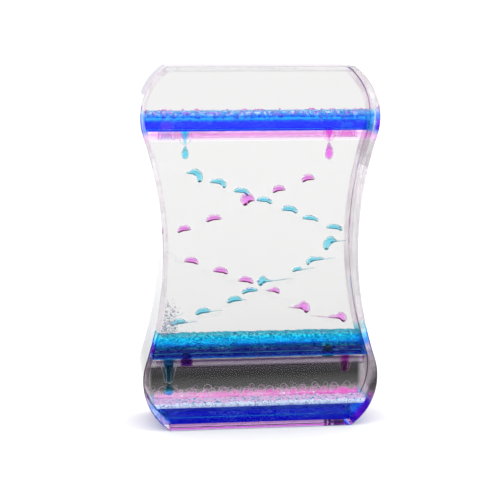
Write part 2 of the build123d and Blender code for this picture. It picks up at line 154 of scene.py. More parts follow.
class Graph:
    """The nodes of a material or a world, with short calls that add to them."""

    def __init__(self, owner: bpy.types.ID) -> None:
        """Starts the owner's nodes afresh."""
        owner.use_nodes = True
        self.owner, self.tree = owner, owner.node_tree
        self.tree.nodes.clear()

    def add(self, kind: str, inputs: dict | None = None, **settings: object) -> bpy.types.Node:
        """Adds a node.

        Args:
            kind: the node's type, without the words Shader and Node in front.
            inputs: a value, or the socket to link, for each input by name or number.
            settings: the node's own settings.

        Returns:
            The new node.
        """
        node = self.tree.nodes.new(f"ShaderNode{kind}")
        for name, value in settings.items():
            setattr(node, name, value)
        for name, value in (inputs or {}).items():
            socket = node.inputs[name]
            if isinstance(value, Socket):
                self.tree.links.new(value, socket)
            else:
                socket.default_value = (*value, 1.0) if socket.type == "RGBA" else value
        return node

    def out(self, kind: str, inputs: dict | None = None, **settings: object) -> Socket:
        """Adds a node, and gives its first output."""
        return self.add(kind, inputs, **settings).outputs[0]

    def math(self, operation: str, first: object, second: object = 0.0) -> Socket:
        """One step of arithmetic on two values or sockets."""
        return self.out("Math", {0: first, 1: second}, operation=operation)

    def times(self, first: object, second: object) -> Socket:
        """The product of two values or sockets."""
        return self.math("MULTIPLY", first, second)

    def beyond(self, part: Socket, limit: float) -> Socket:
        """1 where a length is more than the limit to either side, and 0 elsewhere."""
        return self.math("GREATER_THAN", self.math("ABSOLUTE", part), limit * MM)

    def mix(self, factor: object, first: object, second: object) -> Socket:
        """Two shaders mixed: the first at factor 0, the second at 1."""
        return self.out("MixShader", {0: factor, 1: first, 2: second})

    def mix_colours(self, factor: object, first: object, second: object) -> Socket:
        """Two colours mixed: the first at factor 0, the second at 1."""
        return self.add("Mix", {0: factor, 6: first, 7: second}, data_type="RGBA").outputs[2]

    def clear(self, tint: object = WHITE) -> Socket:
        """A shader that bends nothing, and only tints what is behind it."""
        return self.out("BsdfTransparent", {0: tint})

    def slant(self, blend: float) -> Socket:
        """How far a face turns aside: 0 seen square on, and 1 seen edge-on."""
        return self.add("LayerWeight", {"Blend": blend}).outputs["Facing"]

    def parts(self, vector: Socket) -> list[Socket]:
        """The three parts of a vector."""
        return list(self.add("SeparateXYZ", {0: vector}).outputs)

    def place(self) -> tuple[Socket, list[Socket]]:
        """The point in the piece's own frame, as one vector and as its three parts, in metres."""
        point = self.add("TexCoord").outputs["Object"]
        return point, self.parts(point)

    def facing(self) -> list[Socket]:
        """Finds the way that a face looks.

        Returns:
            The parts of the outward normal, whichever side the light comes from.
        """
        geometry = self.add("NewGeometry").outputs
        turned = self.out("Math", {0: geometry["Backfacing"], 1: -2.0, 2: 1.0}, operation="MULTIPLY_ADD")
        normal = self.out("VectorMath", {0: geometry["Normal"], "Scale": turned}, operation="SCALE")
        return self.parts(normal)

    def noise(self, point: object, per_mm: float, detail: float = 2.0, distortion: float = 0.0) -> Socket:
        """Soft noise from 0 to 1, with about per_mm lumps in a millimetre."""
        inputs = {"Vector": point, "Scale": per_mm / MM, "Detail": detail, "Distortion": distortion}
        return self.out("TexNoise", inputs)

    def fit(self, value: object, low: float, high: float, start: float = 0.0, end: float = 1.0) -> Socket:
        """Maps low..high to start..end, and no further."""
        return self.out("MapRange", {0: value, 1: low, 2: high, 3: start, 4: end}, clamp=True)

    def bands(self, value: object, stops: Stops) -> Socket:
        """A colour ramp over 0..1.

        Args:
            value: where on the ramp.
            stops: places and their colours, in order.

        Returns:
            The colour socket.
        """
        node = self.add("ValToRGB", {0: value})
        elements = node.color_ramp.elements
        while len(elements) < len(stops):
            elements.new(1.0)
        for element, (place, colour) in zip(elements, stops):
            element.position, element.color = place, (*colour, 1.0)
        return node.outputs[0]

    def by_height(self, stops: Stops, sway: float = 0.0) -> Socket:
        """A colour that goes by the height above the base.

        Args:
            stops: heights and their colours, upwards.
            sway: how far the bands wander up and down.

        Returns:
            The colour socket.
        """
        point, (_, _, z) = self.place()
        if sway > 0:
            wander = self.math("SUBTRACT", self.noise(point, 0.7, 3.0), 0.5)
            z = self.math("ADD", z, self.times(wander, 2 * sway * MM))
        share = self.math("DIVIDE", z, OUTLINE.height * MM)
        return self.bands(share, tuple((height / OUTLINE.height, colour) for height, colour in stops))

    def bump(self, height: object, depth: float) -> Socket:
        """A bumped normal, depth millimetres deep."""
        return self.out("Bump", {"Strength": 1.0, "Distance": depth * MM, "Height": height})

    def froth_white(self, colour: Colour, glow: float = 0.45, through: float = 0.3) -> Socket:
        """The shader of froth that scatters light, with a painted glow added.

        Args:
            colour: of the froth.
            glow: strength of the painted glow, an emission that brightens the froth though it is no lamp.
            through: the share that comes out at the far side.

        Returns:
            The shader socket.
        """
        back = self.out("BsdfDiffuse", {"Color": colour})
        onward = self.out("BsdfTranslucent", {"Color": colour})
        # painted glow: an emission that brightens the froth though it is no lamp
        painted_glow = self.out("Emission", {"Color": colour, "Strength": glow})
        return self.out("AddShader", {0: self.mix(through, back, onward), 1: painted_glow})

    def finish(self, surface: Socket, volume: Socket | None = None) -> Material:
        """Links the material's output.

        Args:
            surface: the shader of its faces.
            volume: the shader of its inside, if it has one.

        Returns:
            The finished material.
        """
        inputs = {"Surface": surface} if volume is None else {"Surface": surface, "Volume": volume}
        self.add("OutputMaterial", inputs)
        return self.owner


# ---- finishes


@dataclass(frozen=True)
class Dye:
    """How much of red, green and blue a dye takes away in a metre of water."""

    takes: Colour

    def volume(self, graph: Graph) -> Socket:
        """The absorbing volume: its density is the most that the dye takes of any colour."""
        most = max(self.takes)
        inputs = {"Color": tuple(1 - part / most for part in self.takes), "Density": most}
        return graph.out("VolumeAbsorption", inputs)


CYAN_TOP = Dye((330.0, 50.0, 4.0))
PINK_TOP = Dye((8.0, 240.0, 8.0))
CYAN_DEEP = Dye((480.0, 140.0, 85.0))
PINK_DEEP = Dye((60.0, 420.0, 85.0))
CYAN_BASE = Dye((480.0, 130.0, 42.0))
PINK_BASE = Dye((50.0, 420.0, 45.0))
CYAN_BEAD_DYE = Dye((700.0, 105.0, 8.0))
PINK_BEAD_DYE = Dye((16.0, 480.0, 16.0))


class Skin(Enum):
    """Which faces of a sheet meet the air."""

    PANEL = "all but the inner face of a flat panel"
    WALL = "the outer side of a bent wall"
    PLATE = "the flat outside and the short sides of an end plate"


@dataclass(frozen=True)
class ClearSheet:
    """Polished acrylic sheet: glossy where it meets the air, bare of reflections inside, and with painted
    light on its inner face and cut edges.
    """

    name: str
    skin: Skin
    tint: Colour
    inner_tint: Colour = WHITE
    # painted light on the inner face, by height: painted shade on the panels, painted reflections of the
    # liquids on the walls
    painted_light_by_height: Stops = ()
    # painted reflections of the liquids on the cut edges, by height
    rim: Stops = ()
    # strength of the painted streaks of reflected colour, in streak_tint, on the inner face
    streaked: float = 0.0
    # how far the inner face's tint turns to end_tint near the walls
    pale_ends: float = 0.0
    end_span: Span = (38.5, 41.0)
    end_tint: Colour = grey(0.85)
    roughness: float = 0.02
    waviness: float = 0.004
    gloss: Colour = grey(0.12)
    streak_tint: Colour = (0.68, 0.6, 0.67)
    inner_plane: float = 13.02
    wall_outward: float = 0.05
    plate_outward: float = 0.3

    def build(self) -> Material:
        """Makes the material.

        Returns:
            The finished material.
        """
        graph = Graph(bpy.data.materials.new(self.name))
        point, (x, _, _) = graph.place()
        air_face = graph.out(
            "BsdfPrincipled",
            {
                # painted reflections of the liquids on the cut edges
                "Base Color": self.painted_edge_colour(graph) if self.rim else self.tint,
                "Roughness": graph.fit(graph.noise(point, 0.12, 4.0), 0.35, 0.7, 0.0, self.roughness),
                "IOR": SHEET_IOR,
                "Transmission Weight": 1.0,
                "Specular Tint": self.gloss,
                "Normal": graph.bump(graph.noise(point, 0.05, 1.0), self.waviness),
            },
        )
        tint = graph.by_height(self.painted_light_by_height) if self.painted_light_by_height else self.inner_tint
        if self.pale_ends > 0:
            start, full = self.end_span
            near_wall = graph.fit(graph.math("ABSOLUTE", x), start * MM, full * MM, 0.0, self.pale_ends)
            tint = graph.mix_colours(near_wall, tint, self.end_tint)
        inner_face = graph.clear(tint)
        if self.streaked > 0:
            # painted streaks of reflected colour
            inner_face = graph.mix(self.painted_streaks(graph, point), inner_face, graph.clear(self.streak_tint))
        return graph.finish(graph.mix(self.outside(graph), inner_face, air_face))

    def outside(self, graph: Graph) -> Socket:
        """Tells the faces that meet the air.

        Args:
            graph: the material's graph.

        Returns:
            1 on those faces, and 0 on the inner ones.
        """
        _, (x, y, z) = graph.place()
        if self.skin is Skin.PANEL:
            return graph.beyond(y, self.inner_plane)
        nx, _, nz = graph.facing()
        sideways = graph.times(nx, graph.math("SIGN", x))
        if self.skin is Skin.WALL:
            return graph.math("GREATER_THAN", sideways, self.wall_outward)
        end = graph.math("SIGN", graph.math("SUBTRACT", z, OUTLINE.height / 2 * MM))
        outward = graph.math("MAXIMUM", sideways, graph.times(nz, end))
        return graph.math("GREATER_THAN", outward, self.plate_outward)

    def painted_edge_colour(self, graph: Graph) -> Socket:
        """The tint of an air face: clear on the flat sides, and where the sheet was cut a painted reflection
        of the liquids, by height.

        Args:
            graph: the material's graph.

        Returns:
            The colour socket.
        """
        _, ny, _ = graph.facing()
        cut = graph.math("LESS_THAN", graph.math("ABSOLUTE", ny), 0.5)
        return graph.mix_colours(cut, self.tint, graph.by_height(self.rim))

    def painted_streaks(self, graph: Graph, point: Socket) -> Socket:
        """Thin upright painted streaks of reflected colour that run round the sheet's curve.

        Args:
            graph: the material's graph.
            point: the point in the sheet's own frame.

        Returns:
            How strong they are at each point.
        """
        drawn_out = graph.out("VectorMath", {0: point, 1: (0.0, 1.0, 0.06)}, operation="MULTIPLY")
        fine = graph.fit(graph.noise(drawn_out, 0.8), 0.52, 0.62)
        return graph.times(fine, self.streaked)


@dataclass(frozen=True)
class DividerSheet:
    """A divider of clear sheet. Its long edge carries painted reflections of the liquids and painted shade,
    in level bands.
    """

    name: str
    low_z: float
    high_z: float
    stops: Stops
    face_tint: Colour = (0.99, 0.985, 0.99)
    wave: float = 0.12

    def build(self) -> Material:
        """Makes the material.

        Returns:
            The finished material.
        """
        graph = Graph(bpy.data.materials.new(self.name))
        point, (_, y, z) = graph.place()
        ripple = graph.fit(graph.noise(point, 0.35, 3.0), 0.3, 0.7, -self.wave * MM, self.wave * MM)
        height = graph.fit(graph.math("ADD", z, ripple), self.low_z * MM, self.high_z * MM)
        # painted reflections and painted shade on the long edge, in level bands
        edge = graph.clear(graph.bands(height, self.stops))
        return graph.finish(graph.mix(graph.beyond(y, EDGE_PLANE), graph.clear(self.face_tint), edge))


@dataclass(frozen=True)
class RampSheet:
    """Thin clear treads. Only their cut ends show against the oil, in patches of fine dark lines of painted
    shade.
    """

    name: str
    cover: float
    tint: Colour = grey(0.995)
    # colour of the painted dark lines
    line: Colour = (0.2, 0.19, 0.2)

    def build(self) -> Material:
        """Makes the material.

        Returns:
            The finished material.
        """
        graph = Graph(bpy.data.materials.new(self.name))
        point, (_, y, _) = graph.place()
        # painted shade: fine dark lines on the cut ends
        painted_dark_line = graph.out("BsdfPrincipled", {"Base Color": self.line, "Roughness": 0.3})
        patchy = graph.fit(graph.noise(point, 0.25, 3.0), 0.45, 0.75, 0.0, self.cover)
        shown = graph.times(graph.beyond(y, EDGE_PLANE), patchy)
        return graph.finish(graph.mix(shown, graph.clear(self.tint), painted_dark_line))


@dataclass(frozen=True)
class FittingAcrylic:
    """Turned acrylic, a little denser than the oil round it, with a painted outline of light and shade where
    it turns edge-on.
    """

    name: str
    tint: Colour
    # colour of the painted outline
    rim: Colour
    rim_cover: float = 0.5
    ior: float = 1.04

    def build(self) -> Material:
        """Makes the material.

        Returns:
            The finished material.
        """
        graph = Graph(bpy.data.materials.new(self.name))
        point, _ = graph.place()
        lathe_marks = graph.noise(point, 1.2)
        glass = graph.out(
            "BsdfPrincipled",
            {
                "Base Color": self.tint,
                "Roughness": graph.fit(lathe_marks, 0.3, 0.7, 0.0, 0.05),
                "IOR": self.ior,
                "Transmission Weight": 1.0,
                "Normal": graph.bump(lathe_marks, 0.01),
            },
        )
        slant = graph.slant(0.35)
        # painted outline: the rim colour where the faces turn edge-on
        painted_outline = graph.out("BsdfDiffuse", {"Color": self.rim})
        cover = graph.times(graph.fit(slant, 0.45, 0.8), self.rim_cover)
        return graph.finish(graph.mix(cover, graph.mix(slant, graph.clear(self.tint), glass), painted_outline))


class LiquidForm(Enum):
    """What a body of coloured water looks like."""

    POOL = "lies on a sheet: only its top bends light, and its base mirrors it"
    FROTH = "a froth of small cells that lies on a pool"
    DROP = "floats free in the oil, or lies on a tread"


@dataclass(frozen=True)
class FrothLook:
    """Froth against a panel: a clear tint that changes upwards, with dark and pale squiggles in it.

    The squiggles fade to low_share at low_z. milk is how white the froth is at low_z and at high_z,
    and crown is the colour of the pale squiggles on its top. Stops take the place of the tints.
    """

    low_z: float
    high_z: float
    dark: Colour
    pale: Colour
    pale_cover: float
    tints: tuple[Colour, Colour] = (WHITE, WHITE)
    low_share: float = 1.0
    milk: Span = (0.0, 0.0)
    per_mm: float = 0.55
    line: float = 0.035
    glow: float = 0.45
    crown: Colour | None = None
    stops: Stops = ()
    sway: float = 0.0
    finer: float = 1.9

    def shader(self, graph: Graph, white: Colour) -> Socket:
        """The shader of the froth's face.

        Args:
            graph: the material's graph.
            white: the colour of its pale squiggles.

        Returns:
            The shader socket.
        """
        point, (_, _, z) = graph.place()
        up = graph.fit(z, self.low_z * MM, self.high_z * MM)
        if self.stops:
            tint = graph.clear(graph.by_height(self.stops, self.sway))
        else:
            low, high = self.tints
            tint = graph.mix(up, graph.clear(low), graph.clear(high))
        fade = graph.fit(up, 0.0, 1.0, self.low_share, 1.0)
        patch = graph.fit(graph.noise(point, 0.12), 0.38, 0.6, 0.35, 1.0)
        shown = graph.times(fade, patch)
        coarse = self.squiggle(graph, point, self.per_mm)
        fine = self.squiggle(graph, point, self.per_mm * self.finer)
        body = graph.mix(graph.times(coarse, shown), tint, graph.clear(self.dark))
        cover = graph.times(graph.times(fine, shown), self.pale_cover)
        if max(self.milk) > 0:
            thin = graph.math("SUBTRACT", 1.0, graph.times(coarse, 0.6))
            milky = graph.times(graph.fit(up, 0.0, 1.0, *self.milk), thin)
            cover = graph.math("MAXIMUM", cover, milky)
        # the pale squiggles and the milk carry froth_white's painted glow
        return graph.mix(cover, body, graph.froth_white(white, self.glow))

    def squiggle(self, graph: Graph, point: Socket, per_mm: float) -> Socket:
        """Thin winding lines.

        Args:
            graph: the material's graph.
            point: the point in the piece's own frame.
            per_mm: how many there are in a millimetre, or so.

        Returns:
            1 on them and 0 between.
        """
        lumps = graph.noise(point, per_mm, 1.5, 1.2)
        away = graph.math("ABSOLUTE", graph.math("SUBTRACT", lumps, 0.5))
        return graph.fit(away, self.line * 0.4, self.line, 1.0, 0.0)


@dataclass(frozen=True)
class DyedWater:
    """Water with a clear dye in it, which deepens with the distance that light goes through it."""

    name: str
    form: LiquidForm
    dye: Dye | None
    # painted shade on the faces underneath
    underside_shade: Colour = WHITE
    ripple: float = 0.0
    look: FrothLook | None = None
    top_cover: float = 0.0
    soft_rim: float = 0.8
    panel_plane: float = 12.8
    mirror: Colour = grey(0.97)

    def build(self) -> Material:
        """Makes the material.

        Returns:
            The finished material.
        """
        graph = Graph(bpy.data.materials.new(self.name))
        point, _ = graph.place()
        _, _, nz = graph.facing()
        normal = graph.bump(graph.noise(point, 0.9), self.ripple)
        inputs = {"Color": WHITE, "Roughness": 0.0, "IOR": WATER_IOR, "Normal": normal}
        glass = graph.out("BsdfGlass", inputs)
        if self.form is LiquidForm.DROP:
            rim = graph.fit(graph.slant(0.5), 0.5, 0.85, 0.0, self.soft_rim)
            skin = graph.mix(rim, glass, graph.clear())
            # painted shade: the faces underneath are tinted dark
            surface = graph.mix(graph.math("LESS_THAN", nz, -0.75), skin, graph.clear(self.underside_shade))
        else:
            surface = self.sides(graph, nz, glass)
        if self.form is LiquidForm.POOL:
            mirror = graph.out("BsdfAnisotropic", {"Color": self.mirror, "Roughness": 0.0})
            surface = graph.mix(graph.math("LESS_THAN", nz, -0.9), surface, mirror)
        return graph.finish(surface, self.dye.volume(graph) if self.dye else None)

    def sides(self, graph: Graph, nz: Socket, glass: Socket) -> Socket:
        """The froth's look on the side against the panel, glass on top, and clear elsewhere.

        Args:
            graph: the material's graph.
            nz: the upward part of the outward normal.
            glass: the shader of the top.

        Returns:
            The shader socket.
        """
        _, (_, y, _) = graph.place()
        froth = self.look.shader(graph, self.look.pale)
        crown = self.look.shader(graph, self.look.crown) if self.look.crown else froth
        side = graph.mix(graph.beyond(y, self.panel_plane), graph.clear(), froth)
        above = graph.math("GREATER_THAN", nz, 0.15)
        return graph.mix(above, side, graph.mix(self.top_cover, glass, crown))


@dataclass(frozen=True)
class FrothWater:
    """Small beads of coloured water and air: clear in their middles, with a painted pale highlight at their
    rims.
    """

    name: str
    tint: Colour
    rim: Colour
    cover: float = 0.45

    def build(self) -> Material:
        """Makes the material.

        Returns:
            The finished material.
        """
        graph = Graph(bpy.data.materials.new(self.name))
        point, _ = graph.place()
        patch = graph.fit(graph.noise(point, 0.4, 3.0), 0.3, 0.7, 0.75, 1.1)
        glass = graph.out("BsdfGlass", {"Color": self.tint, "Roughness": 0.05, "IOR": WATER_IOR})
        # painted highlight: pale froth, with its painted glow, where the beads turn edge-on
        cover = graph.times(graph.times(graph.slant(0.4), patch), self.cover)
        return graph.finish(graph.mix(cover, glass, graph.froth_white(self.rim)))


@dataclass(frozen=True)
class FoamSkin:
    """Foam bubbles: a tinted film, paler to the left, with a painted bright rim and a milky middle, lit by a
    painted glow.
    """

    name: str
    film: Colour
    left: Colour
    right: Colour
    cover: float
    milk: float
    power: float
    reach: float = 36.0

    def build(self) -> Material:
        """Makes the material.

        Returns:
            The finished material.
        """
        graph = Graph(bpy.data.materials.new(self.name))
        point, (x, _, _) = graph.place()
        drift = graph.fit(graph.noise(point, 0.14, 3.0), 0.35, 0.65, -0.5, 0.5)
        across = graph.math("ADD", graph.fit(x, -self.reach * MM, self.reach * MM), drift)
        sides = graph.froth_white(self.left), graph.froth_white(self.right)
        pale = graph.mix(graph.fit(across, 0.0, 1.0), *sides)
        patch = graph.fit(graph.noise(point, 0.5), 0.3, 0.7, 0.6, 1.0)
        # painted highlight: a bright rim where the bubbles turn edge-on
        edge = graph.math("POWER", graph.slant(0.3), self.power)
        rim = graph.times(edge, graph.times(patch, self.cover))
        return graph.finish(graph.mix(graph.math("ADD", rim, self.milk), graph.clear(self.film), pale))


@dataclass(frozen=True)
class AirBubble:
    """A bubble of air in the oil, bright in the middle and dark at its rim."""

    name: str
    tint: Colour = (0.97, 0.98, 1.0)

    def build(self) -> Material:
        """Makes the material.

        Returns:
            The finished material.
        """
        graph = Graph(bpy.data.materials.new(self.name))
        point, _ = graph.place()
        dimple = graph.bump(graph.noise(point, 2.0, 1.0), 0.01)
        inputs = {"Color": self.tint, "Roughness": 0.0, "IOR": AIR_IOR, "Normal": dimple}
        return graph.finish(graph.out("BsdfGlass", inputs))


@dataclass(frozen=True)
class ClearOil:
    """Oil that only tints what is behind it."""

    name: str
    body: Dye

    def build(self) -> Material:
        """Makes the material."""
        graph = Graph(bpy.data.materials.new(self.name))
        return graph.finish(graph.clear(), self.body.volume(graph))


@dataclass(frozen=True)
class PaleFloor:
    """The studio's matt floor."""

    name: str = "studio_floor"
    colour: Colour = grey(0.9)

    def build(self) -> Material:
        """Makes the material."""
        graph = Graph(bpy.data.materials.new(self.name))
        return graph.finish(graph.out("BsdfDiffuse", {"Color": self.colour}))


# ---- meshes


def new_piece(name: str, points: np.ndarray, faces: list, finish: Material, smooth: bool = True) -> Piece:
    """Makes a mesh object.

    Args:
        name: of the piece.
        points: its corners in millimetres, one row each.
        faces: the corners of each face.
        finish: its material.
        smooth: whether its faces are shaded smooth.

    Returns:
        The object, in the scene.
    """
    mesh = bpy.data.meshes.new(name)
    mesh.from_pydata((np.asarray(points) * MM).tolist(), [], faces)
    mesh.materials.append(finish)
    mesh.polygons.foreach_set("use_smooth", [smooth] * len(mesh.polygons))
    mesh.update()
    piece = bpy.data.objects.new(name, mesh)
    bpy.context.scene.collection.objects.link(piece)
    return piece


def crease(piece: Piece, angle: float = 50.0) -> None:
    """Keeps the edges sharper than the angle out of the smooth shading."""
    piece.data.set_sharp_from_angle(angle=math.radians(angle))


class MeshPile:
    """Points and faces of several shells that make one piece."""

    def __init__(self) -> None:
        """Starts empty."""
        self.points: list[np.ndarray] = []
        self.faces: list[list[int]] = []
        self.count = 0

    def add(self, points: np.ndarray, faces: list) -> None:
        """Adds a shell.

        Args:
            points: its corners.
            faces: its faces, by its own corner numbers.
        """
        self.points.append(np.asarray(points, float))
        self.faces += [[corner + self.count for corner in face] for face in faces]
        self.count += len(points)

    def piece(self, name: str, finish: Material) -> Piece:
        """Makes the piece."""
        return new_piece(name, np.vstack(self.points), self.faces, finish)


def capped_rings(rings: int, sides: int) -> list[list[int]]:
    """The faces of a closed shell of rings. A point for its start and one for its end follow them.

    Args:
        rings: how many rings there are.
        sides: how many points each has.

    Returns:
        The corners of each face.
    """
    faces = []
    for ring in range(rings - 1):
        for side in range(sides):
            a, b = ring * sides + side, ring * sides + (side + 1) % sides
            faces.append([a, b, b + sides, a + sides])
    last = (rings - 1) * sides
    for side in range(sides):
        after = (side + 1) % sides
        faces += [[last + sides, after, side], [last + sides + 1, last + side, last + after]]
    return faces


def turned(profile: Profile, segments: int = 40) -> Shell:
    """A closed shell turned about the upright axis.

    Args:
        profile: radii and heights from the lower end to the upper one; the ends close to points.
        segments: how many sides.

    Returns:
        Its points and faces.
    """
    angles = np.linspace(0, 2 * math.pi, segments, endpoint=False)
    rings = [np.column_stack([r * np.cos(angles), r * np.sin(angles), 0 * angles + z]) for r, z in profile]
    points = np.vstack([*rings, [[0, 0, profile[0][1]]], [[0, 0, profile[-1][1]]]])
    return points, capped_rings(len(profile), segments)


def unit_ball(fineness: int) -> Shell:
    """A ball of radius 1 from triangles.

    Args:
        fineness: how many times its faces are divided.

    Returns:
        Its points and faces.
    """
    scratch = bmesh.new()
    bmesh.ops.create_icosphere(scratch, subdivisions=fineness, radius=1.0)
    points = np.array([v.co[:] for v in scratch.verts])
    faces = [[v.index for v in face.verts] for face in scratch.faces]
    scratch.free()
    return points, faces


def loose_parts(node: Piece) -> list[np.ndarray]:
    """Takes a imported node's mesh apart.

    Args:
        node: the node's object.

    Returns:
        The corner points of each separate solid in it, in millimetres.
    """
    scratch = bmesh.new()
    scratch.from_mesh(node.data)
    bmesh.ops.remove_doubles(scratch, verts=scratch.verts, dist=1e-6)
    left, parts = set(scratch.verts), []
    while left:
        seed = left.pop()
        group, edge_of = [seed], [seed]
        while edge_of:
            for edge in edge_of.pop().link_edges:
                for vertex in left.intersection(edge.verts):
                    left.discard(vertex)
                    group.append(vertex)
                    edge_of.append(vertex)
        parts.append(np.array([v.co[:] for v in group]) / MM)
    scratch.free()
    return parts


# ---- the tank and its fittings


def dress(node: str, finish: Material) -> None:
    """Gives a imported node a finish.

    Args:
        node: its name.
        finish: for all its faces.
    """
    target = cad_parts[node]
    if not target.material_slots:
        target.data.materials.append(finish)
    for slot in target.material_slots:
        slot.material = finish


def draw_in(node: str, film: float) -> None:
    """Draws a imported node's faces in by film, so that they don't lie in those of its neighbours."""
    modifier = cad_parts[node].modifiers.new("glue_film", "DISPLACE")
    modifier.strength, modifier.mid_level = -film * MM, 0.0


@dataclass
class Tank:
    """The clear sheets round the liquids, with painted reflections of the liquids and painted shade, by
    height.
    """

    tint: Colour = grey(0.985)
    wall_tint: Colour = (0.84, 0.82, 0.84)
    # painted streaks of reflected colour on the walls
    wall_painted_streaks: float = 0.8
    plate_inner: Colour = (0.88, 0.87, 0.88)
    base_inner: Colour = (0.78, 0.64, 0.82)
    # how far the back panel's painted shade turns to an even grey near the walls
    back_ends: float = 0.5
    glue: Dye = Dye((2.0, 2.0, 2.0))
    # painted reflections of the liquids on the walls' inner faces, by height
    wall_painted_reflections: Stops = (
        (2.0, (0.1, 0.3, 0.93)), (8.0, (0.12, 0.4, 0.95)), (9.6, (0.6, 0.75, 0.85)),
        (11.0, (0.75, 0.68, 0.74)), (22.0, (0.62, 0.58, 0.62)), (25.0, (0.5, 0.4, 0.6)),
        (26.0, (0.1, 0.3, 0.9)), (29.5, (0.12, 0.4, 0.93)), (31.0, (0.2, 0.75, 0.88)),
        (33.8, (0.3, 0.8, 0.9)), (34.4, (0.9, 0.88, 0.9)), (103.0, (0.95, 0.93, 0.95)),
        (105.5, (0.95, 0.8, 0.95)), (107.3, (0.25, 0.45, 0.97)), (112.5, (0.3, 0.65, 0.97)),
        (114.2, (0.93, 0.91, 0.93)),
    )
    # painted reflections of the liquids on the cut edges of the walls and panels, by height
    rim: Stops = (
        (2.0, (0.7, 0.3, 0.8)), (9.0, (0.75, 0.4, 0.85)), (12.0, (0.7, 0.6, 0.72)),
        (22.0, (0.75, 0.6, 0.78)), (27.0, (0.8, 0.45, 0.88)), (33.0, (0.85, 0.7, 0.88)),
        (40.0, (0.94, 0.91, 0.94)), (103.0, (0.95, 0.88, 0.95)), (110.0, (0.85, 0.6, 0.9)),
        (116.0, (0.96, 0.92, 0.96)),
    )
    # painted shade on the front panel: greys over the oil chambers, darker towards the bottom
    front_painted_shade: Stops = (
        (2.0, grey(0.98)), (33.9, grey(0.98)), (34.3, grey(0.775)), (60.0, grey(0.79)),
        (90.0, grey(0.8)), (103.9, grey(0.8)), (104.2, grey(0.98)), (113.9, grey(0.98)),
        (114.3, grey(0.8)),
    )
    # painted shade on the back panel: the same greys, and a dark band behind the lower chamber from 8.6 to
    # 23 mm
    back_painted_shade: Stops = (
        (8.0, grey(0.98)), (8.6, grey(0.35)), (11.0, grey(0.09)), (16.0, grey(0.03)),
        (19.0, (0.05, 0.045, 0.055)), (19.6, grey(0.3)), (22.8, grey(0.3)), (23.2, grey(0.98)),
        (31.2, grey(0.98)), (31.6, grey(0.76)), (60.0, grey(0.79)), (103.0, grey(0.81)),
        (104.0, grey(0.98)), (112.8, grey(0.98)), (113.2, grey(0.8)),
    )

    def dress(self) -> None:
        """Dresses the panels, walls, end plates and partition."""
        wall = ClearSheet(
            "clear_wall", Skin.WALL, self.wall_tint, WHITE, self.wall_painted_reflections, self.rim, self.wall_painted_streaks
        ).build()
        for node in ("left_wall", "right_wall"):
            dress(node, wall)
        panels = (("front_panel", self.front_painted_shade, 0.0), ("back_panel", self.back_painted_shade, self.back_ends))
        for node, painted_light_by_height, ends in panels:
            sheet = ClearSheet(
                f"clear_{node}", Skin.PANEL, self.tint, painted_light_by_height=painted_light_by_height, rim=self.rim, pale_ends=ends
            )
            dress(node, sheet.build())
        for node, inner in (("top_plate", self.plate_inner), ("bottom_plate", self.base_inner)):
            dress(node, ClearSheet(f"clear_{node}", Skin.PLATE, self.tint, inner).build())
        dress("lane_partition", ClearOil("clear_partition", self.glue).build())


@dataclass
class InnerSheets:
    """Dividers and ramps."""

    # painted reflections of the liquids and painted shade on the dividers' long edges
    upper_painted_edge_colours: Stops = (
        (0.0, (0.985, 0.8, 0.975)), (0.2, (0.985, 0.72, 0.975)), (0.36, (0.98, 0.6, 0.96)),
        (0.5, (0.985, 0.62, 0.965)), (0.66, (0.93, 0.52, 0.88)), (0.78, (0.9, 0.62, 0.88)),
        (0.88, (0.99, 0.97, 1.0)), (0.96, (0.75, 0.72, 0.98)),
    )
    lower_painted_edge_colours: Stops = (
        (0.0, (0.34, 0.3, 0.36)), (0.12, (0.62, 0.54, 0.66)), (0.4, (0.7, 0.6, 0.76)),
        (0.6, (0.58, 0.48, 0.64)), (0.7, (0.32, 0.19, 0.43)), (0.86, (0.35, 0.22, 0.48)),
        (0.93, (0.9, 0.85, 0.98)),
    )
    # how much of each ramp's cut ends carries painted dark lines
    ramp_covers: Span = (0.0, 0.06)
    glue: float = 0.04

    def dress(self) -> None:
        """Dresses both levels in both lanes."""
        levels = zip(
            ("upper", "lower"),
            (UPPER_DIVIDER, LOWER_DIVIDER),
            (self.upper_painted_edge_colours, self.lower_painted_edge_colours),
            self.ramp_covers,
        )
        for level, heights, stops, cover in levels:
            divider = DividerSheet(f"{level}_divider_sheet", *heights, stops).build()
            ramp = RampSheet(f"{level}_ramp_sheet", cover).build()
            for lane in (FRONT, BACK):
                dress(f"{lane.name}_{level}_divider", divider)
                dress(f"{lane.name}_{level}_ramp", ramp)
                draw_in(f"{lane.name}_{level}_ramp", self.glue)


